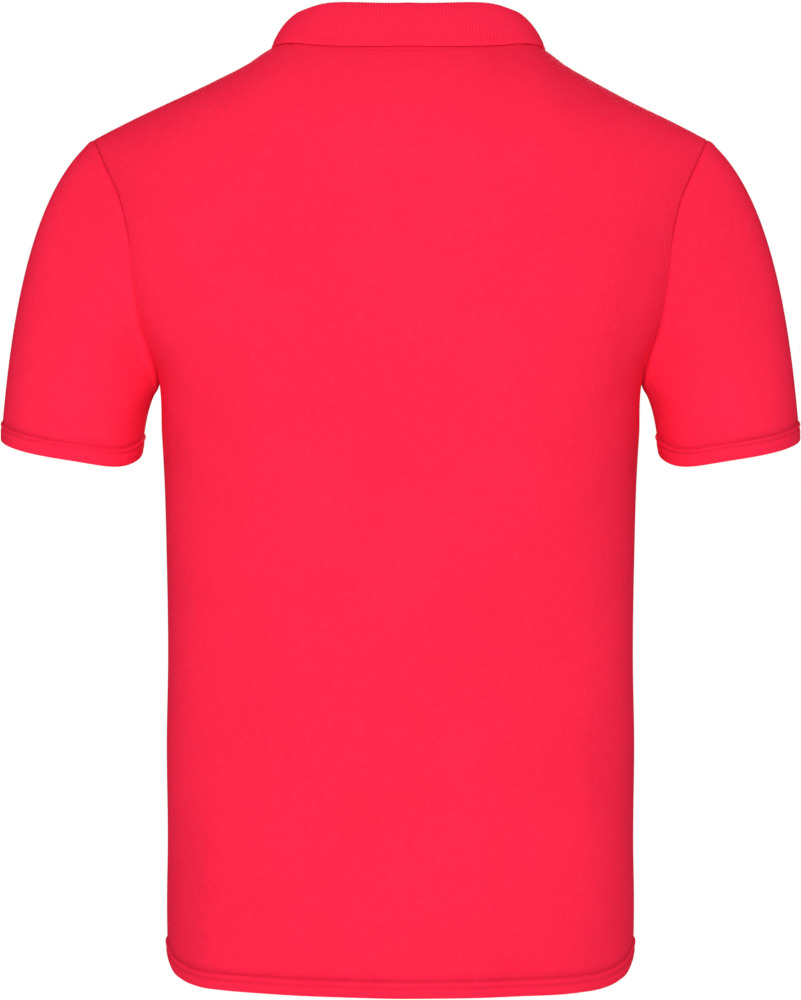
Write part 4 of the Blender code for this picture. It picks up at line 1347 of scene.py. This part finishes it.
class POLO_OT_panels(bpy.types.Operator):
    """Builds the back and the front"""

    bl_idname = "polo.panels"
    bl_label = "Back and front"

    def execute(self, context):
        settings = context.scene.polo
        first, middle, _, _ = slit_heights()
        for side, name, node in ((1, "back_panel", "back"), (-1, "front_panel", "front")):
            outer, normals, shade, places = dressed_panel(side, settings)
            slit = [(r, middle) for r in range(first, len(outer) - 1)] if side < 0 else ()
            bare = bare_forms()[0][side][0]
            inner = bare - normals * edge_thickness(HEM_ROWS, len(outer))
            at_seam = np.abs(bare[..., 1]) < 0.6 * SEAM_GAP
            outer[at_seam, 1] = inner[at_seam, 1] = -side * SEAM_LAP
            piece = cloth_wall(name, outer, inner, places, shade, left_out=slit)
            dress(piece, pique_material(settings), "pique", node)
            runs = [line_on_grid(outer, normals, HEM_ROWS.index(height)) for height in HEM_STITCHES]
            if side > 0:
                runs.append(self.neck_run(outer, normals))
            declare_cut(piece, "hung", ["collar"], [sewn(f"{node}_stitches", runs, settings)])
        return {"FINISHED"}

    def neck_run(self, outer, normals):
        """The row of stitches under the back of the collar."""
        first = ARMHOLE_COLUMNS + SHOULDER_COLUMNS
        line, outs = [], []
        for k in range(first, outer.shape[1] - first):
            run = run_along(outer[::-1, k])
            line.append(place_at(NECK_STITCHES, run, outer[::-1, k]))
            outs.append(place_at(NECK_STITCHES, run, normals[::-1, k]))
        return np.array(line), np.array(outs)


class POLO_OT_sleeves(bpy.types.Operator):
    """Builds both sleeves with their cuffs"""

    bl_idname = "polo.sleeves"
    bl_label = "Sleeves"

    def execute(self, context):
        settings = context.scene.polo
        for sign, node in ((1, "sleeve_left"), (-1, "sleeve_right")):
            outer, normals, shade, places = dressed_sleeve(sign, settings)
            rows = len(outer)
            inner = bare_forms()[1][sign][0] - normals * edge_thickness(CUFF_ROWS, rows)[::-1]
            piece = cloth_wall(f"{node}_cloth", outer, inner, places, shade, closed=True)
            dress(piece, pique_material(settings), "pique", node)
            picked = [rows - 1 - CUFF_ROWS.index(height) for height in CUFF_STITCHES]
            runs = [line_on_grid(outer, normals, row, closed=True) for row in picked]
            threads = sewn(f"{node}_stitches", runs, settings)
            declare_cut(piece, "hung", ["back_panel", "front_panel"], [threads])
        return {"FINISHED"}


class POLO_OT_collar(bpy.types.Operator):
    """Knits the folded collar"""

    bl_idname = "polo.collar"
    bl_label = "Collar"

    def execute(self, context):
        piece = cloth_wall("collar_knit", *collar_grid(context.scene.polo))
        dress(piece, rib_material(), "rib_knit", "collar")
        declare_cut(piece, "folded", ["back_panel", "front_panel"])
        return {"FINISHED"}


class POLO_OT_placket(bpy.types.Operator):
    """Builds the two placket bands, their stitching and the buttonholes"""

    bl_idname = "polo.placket"
    bl_label = "Placket"

    def execute(self, context):
        settings = context.scene.polo
        _, _, bottom, top = slit_heights()
        heights = np.linspace(bottom + SEAM_GAP, top - SEAM_GAP, UNDER_ROWS)
        under, _, _ = self.band("placket_under", PLACKET_HALF_WIDTH - SEAM_GAP, heights, 0.0, None, settings)
        declare_cut(under, "hung", ["front_panel"])
        heights = np.linspace(bottom - PLACKET_BELOW, top - COLLAR_ROOM, UPPER_BAND_ROWS)
        lifted, half_width = 1.8 * SEAM_GAP + BAND_CLOTH, PLACKET_HALF_WIDTH + PLACKET_LAP
        upper, outer, normals = self.band("placket_upper", half_width, heights, lifted, EDGE_STITCH, settings)
        threads = [sewn("placket_stitches", self.edge_runs(outer, normals), settings)]
        for number, height in enumerate(BUTTON_HEIGHTS, start=1):
            runs = self.buttonhole(outer, normals, height)
            sizes = {"length": BUTTONHOLE_BAR, "pitch": BUTTONHOLE_BAR, "radius": FINE_THREAD}
            threads.append(sewn(f"buttonhole_{number}", runs, settings, **sizes))
        declare_cut(upper, "hung", ["front_panel"], threads)
        return {"FINISHED"}

    def band(self, node, half_width, heights, moved_out, edge_stitch, settings):
        """One dressed band, with its outer points and normals."""
        edges = NECK_X + half_width, NECK_X - half_width
        outer, normals, shade, places = band_grid(*edges, heights, moved_out, edge_stitch, settings)
        piece = cloth_wall(f"{node}_band", outer, outer - normals * BAND_CLOTH, places, shade)
        return dress(piece, pique_material(settings), "pique", node), outer, normals

    def edge_runs(self, outer, normals):
        """Stitches down both edges of the band and a box across its foot."""
        width, step = (np.linalg.norm(outer[at] - outer[0, 0]) for at in ((0, -1), (1, 0)))
        at = max(1, round(EDGE_STITCH / width * (outer.shape[1] - 1)))
        low = max(1, round(EDGE_STITCH / step))
        runs = [(outer[low:, k], normals[low:, k]) for k in (at, outer.shape[1] - 1 - at)]
        rows = (low, low + round(BOX_HEIGHT / step))
        return runs + [(outer[row, at:-at], normals[row, at:-at]) for row in rows]

    def buttonhole(self, outer, normals, height):
        """Short stitches across both lips of a buttonhole, and a bar at each end."""
        middle = outer.shape[1] // 2
        order = np.argsort(outer[:, middle, 2])
        line, outs = outer[order, middle], normals[order, middle]
        runs = []
        half = BUTTONHOLE_LENGTH / 2
        for step in np.arange(-half, half + 1e-6, BUTTONHOLE_STEP):
            place = place_at(height + step, line[:, 2], line)
            out = unit(place_at(height + step, line[:, 2], outs))
            at_end = abs(step) > half - BUTTONHOLE_BAR
            for offset in (-0.0013 if at_end else -LIP_WIDTH, 0.0001):
                ends = [place + np.array((offset + reach, 0, 0)) for reach in (0.0, LIP_WIDTH)]
                runs.append((np.array(ends), np.array([out, out])))
        return runs


class POLO_OT_buttons(bpy.types.Operator):
    """Gives the buttons their resin and sews them on"""

    bl_idname = "polo.buttons"
    bl_label = "Buttons"

    def execute(self, context):
        resin = button_material()
        for number, height in enumerate(BUTTON_HEIGHTS, start=1):
            for place in frame["nodes"][f"button_{number}"].material_slots:
                place.link = "OBJECT"
                place.material = resin
            here, above = (body_points(-1, NECK_X, height + rise) for rise in (0.0, 0.004))
            upward = unit(above - here)
            facing = unit(np.cross((1, 0, 0), upward))
            facing = facing if facing[1] < 0 else -facing
            lifted = 2.6 * SEAM_GAP + BAND_CLOTH + BUTTON_THICKNESS - BUTTON_DISH
            runs = []
            for across in (-1, 1):
                for shift in (-FINE_THREAD, FINE_THREAD):
                    middle = here + facing * lifted + np.array((across * BUTTON_HOLE_X + shift, 0, 0))
                    ends = np.array([middle - BUTTON_HOLE_Z * upward, middle + BUTTON_HOLE_Z * upward])
                    runs.append((ends, np.array([facing, facing])))
            sizes = {"length": 0.0027, "pitch": 0.0025, "radius": FINE_THREAD}
            sewn(f"button_thread_{number}", runs, context.scene.polo, **sizes)
        return {"FINISHED"}


class POLO_OT_stage(bpy.types.Operator):
    """Sets up the floor, the light and the camera"""

    bl_idname = "polo.stage"
    bl_label = "Studio"

    def execute(self, context):
        scene, strength = context.scene, context.scene.polo.light
        self.floor()
        self.world(scene, strength)
        for name, place, size, power in LIGHTS:
            lamp = bpy.data.lights.new(name, "AREA")
            lamp.shape, lamp.size, lamp.energy = "SQUARE", size, power * strength
            holder = bpy.data.objects.new(name, lamp)
            scene.collection.objects.link(holder)
            holder.location, holder.visible_camera = place, False
            holder.rotation_euler = (Vector(LIGHT_AIM) - Vector(place)).to_track_quat("-Z", "Y").to_euler()
        camera = bpy.data.cameras.new("camera")
        camera.lens, camera.sensor_width, camera.clip_end = CAMERA_LENS, 36.0, 200.0
        holder = bpy.data.objects.new("camera", camera)
        scene.collection.objects.link(holder)
        holder.location = CAMERA_PLACE
        holder.rotation_euler = (math.radians(90), 0, math.radians(180))
        scene.camera = holder
        scene.view_settings.view_transform = "Standard"
        return {"FINISHED"}

    def floor(self):
        """A matt floor far under the shirt, below what the camera sees."""
        if "floor" in bpy.data.objects:
            bpy.data.objects.remove(bpy.data.objects["floor"])
        bpy.ops.mesh.primitive_circle_add(
            vertices=96, radius=FLOOR_RADIUS, fill_type="NGON", location=(0, 0, FLOOR_Z)
        )
        floor = bpy.context.object
        floor.name = "floor"
        finish = Finish("studio_floor")
        grain = finish.noise(3.0, 2.0, 0.5)
        tone = finish.layered(FLOOR_TONES[0], (grain, 0.3, 0.7, 0.0, 0.02, FLOOR_TONES[1]))
        finish.give({"Base Color": tone, "Roughness": 0.9, "Emission Color": WHITE, "Emission Strength": FLOOR_GLOW})
        floor.data.materials.append(finish.material)
        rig.stage(floor)

    def world(self, scene, strength):
        """A white backdrop that gives only part of its light to the shirt."""
        scene.world = bpy.data.worlds.get("studio") or bpy.data.worlds.new("studio")
        scene.world.use_nodes = True
        tree = scene.world.node_tree
        tree.nodes.clear()
        output, rays = tree.nodes.new("ShaderNodeOutputWorld"), tree.nodes.new("ShaderNodeLightPath")
        mix = tree.nodes.new("ShaderNodeMixShader")
        tree.links.new(rays.outputs["Is Camera Ray"], mix.inputs[0])
        for number, power in ((1, WORLD_LIGHT * strength), (2, 1.0)):
            glow = tree.nodes.new("ShaderNodeBackground")
            glow.inputs["Color"].default_value = WHITE
            glow.inputs["Strength"].default_value = power
            tree.links.new(glow.outputs[0], mix.inputs[number])
        tree.links.new(mix.outputs[0], output.inputs["Surface"])


class POLO_PT_panel(bpy.types.Panel):
    """Lists the steps that build the shirt"""

    bl_label = "Polo Shirt"
    bl_idname = "POLO_PT_panel"
    bl_space_type = "VIEW_3D"
    bl_region_type = "UI"
    bl_category = "Polo Shirt"

    def draw(self, context):
        layout = self.layout
        for name in POLO_PG_settings.__annotations__:
            layout.prop(context.scene.polo, name)
        for operator in OPERATORS:
            layout.operator(operator.bl_idname)


OPERATORS = (POLO_OT_panels, POLO_OT_sleeves, POLO_OT_collar, POLO_OT_placket, POLO_OT_buttons, POLO_OT_stage)
CLASSES = (POLO_PG_settings, *OPERATORS, POLO_PT_panel)


def register():
    for kind in CLASSES:
        bpy.utils.register_class(kind)
    bpy.types.Scene.polo = PointerProperty(type=POLO_PG_settings)


def unregister():
    del bpy.types.Scene.polo
    for kind in reversed(CLASSES):
        bpy.utils.unregister_class(kind)


def main():
    register()
    bpy.ops.polo.panels()
    bpy.ops.polo.sleeves()
    bpy.ops.polo.collar()
    bpy.ops.polo.placket()
    bpy.ops.polo.buttons()
    bpy.ops.polo.stage()
    boxes = {"cad": CAD_BOX, "visual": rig.bounds()}
    with open("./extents.json", "w") as out:
        json.dump({name: [list(map(float, corner)) for corner in box] for name, box in boxes.items()}, out)


if __name__ == "__main__":
    main()
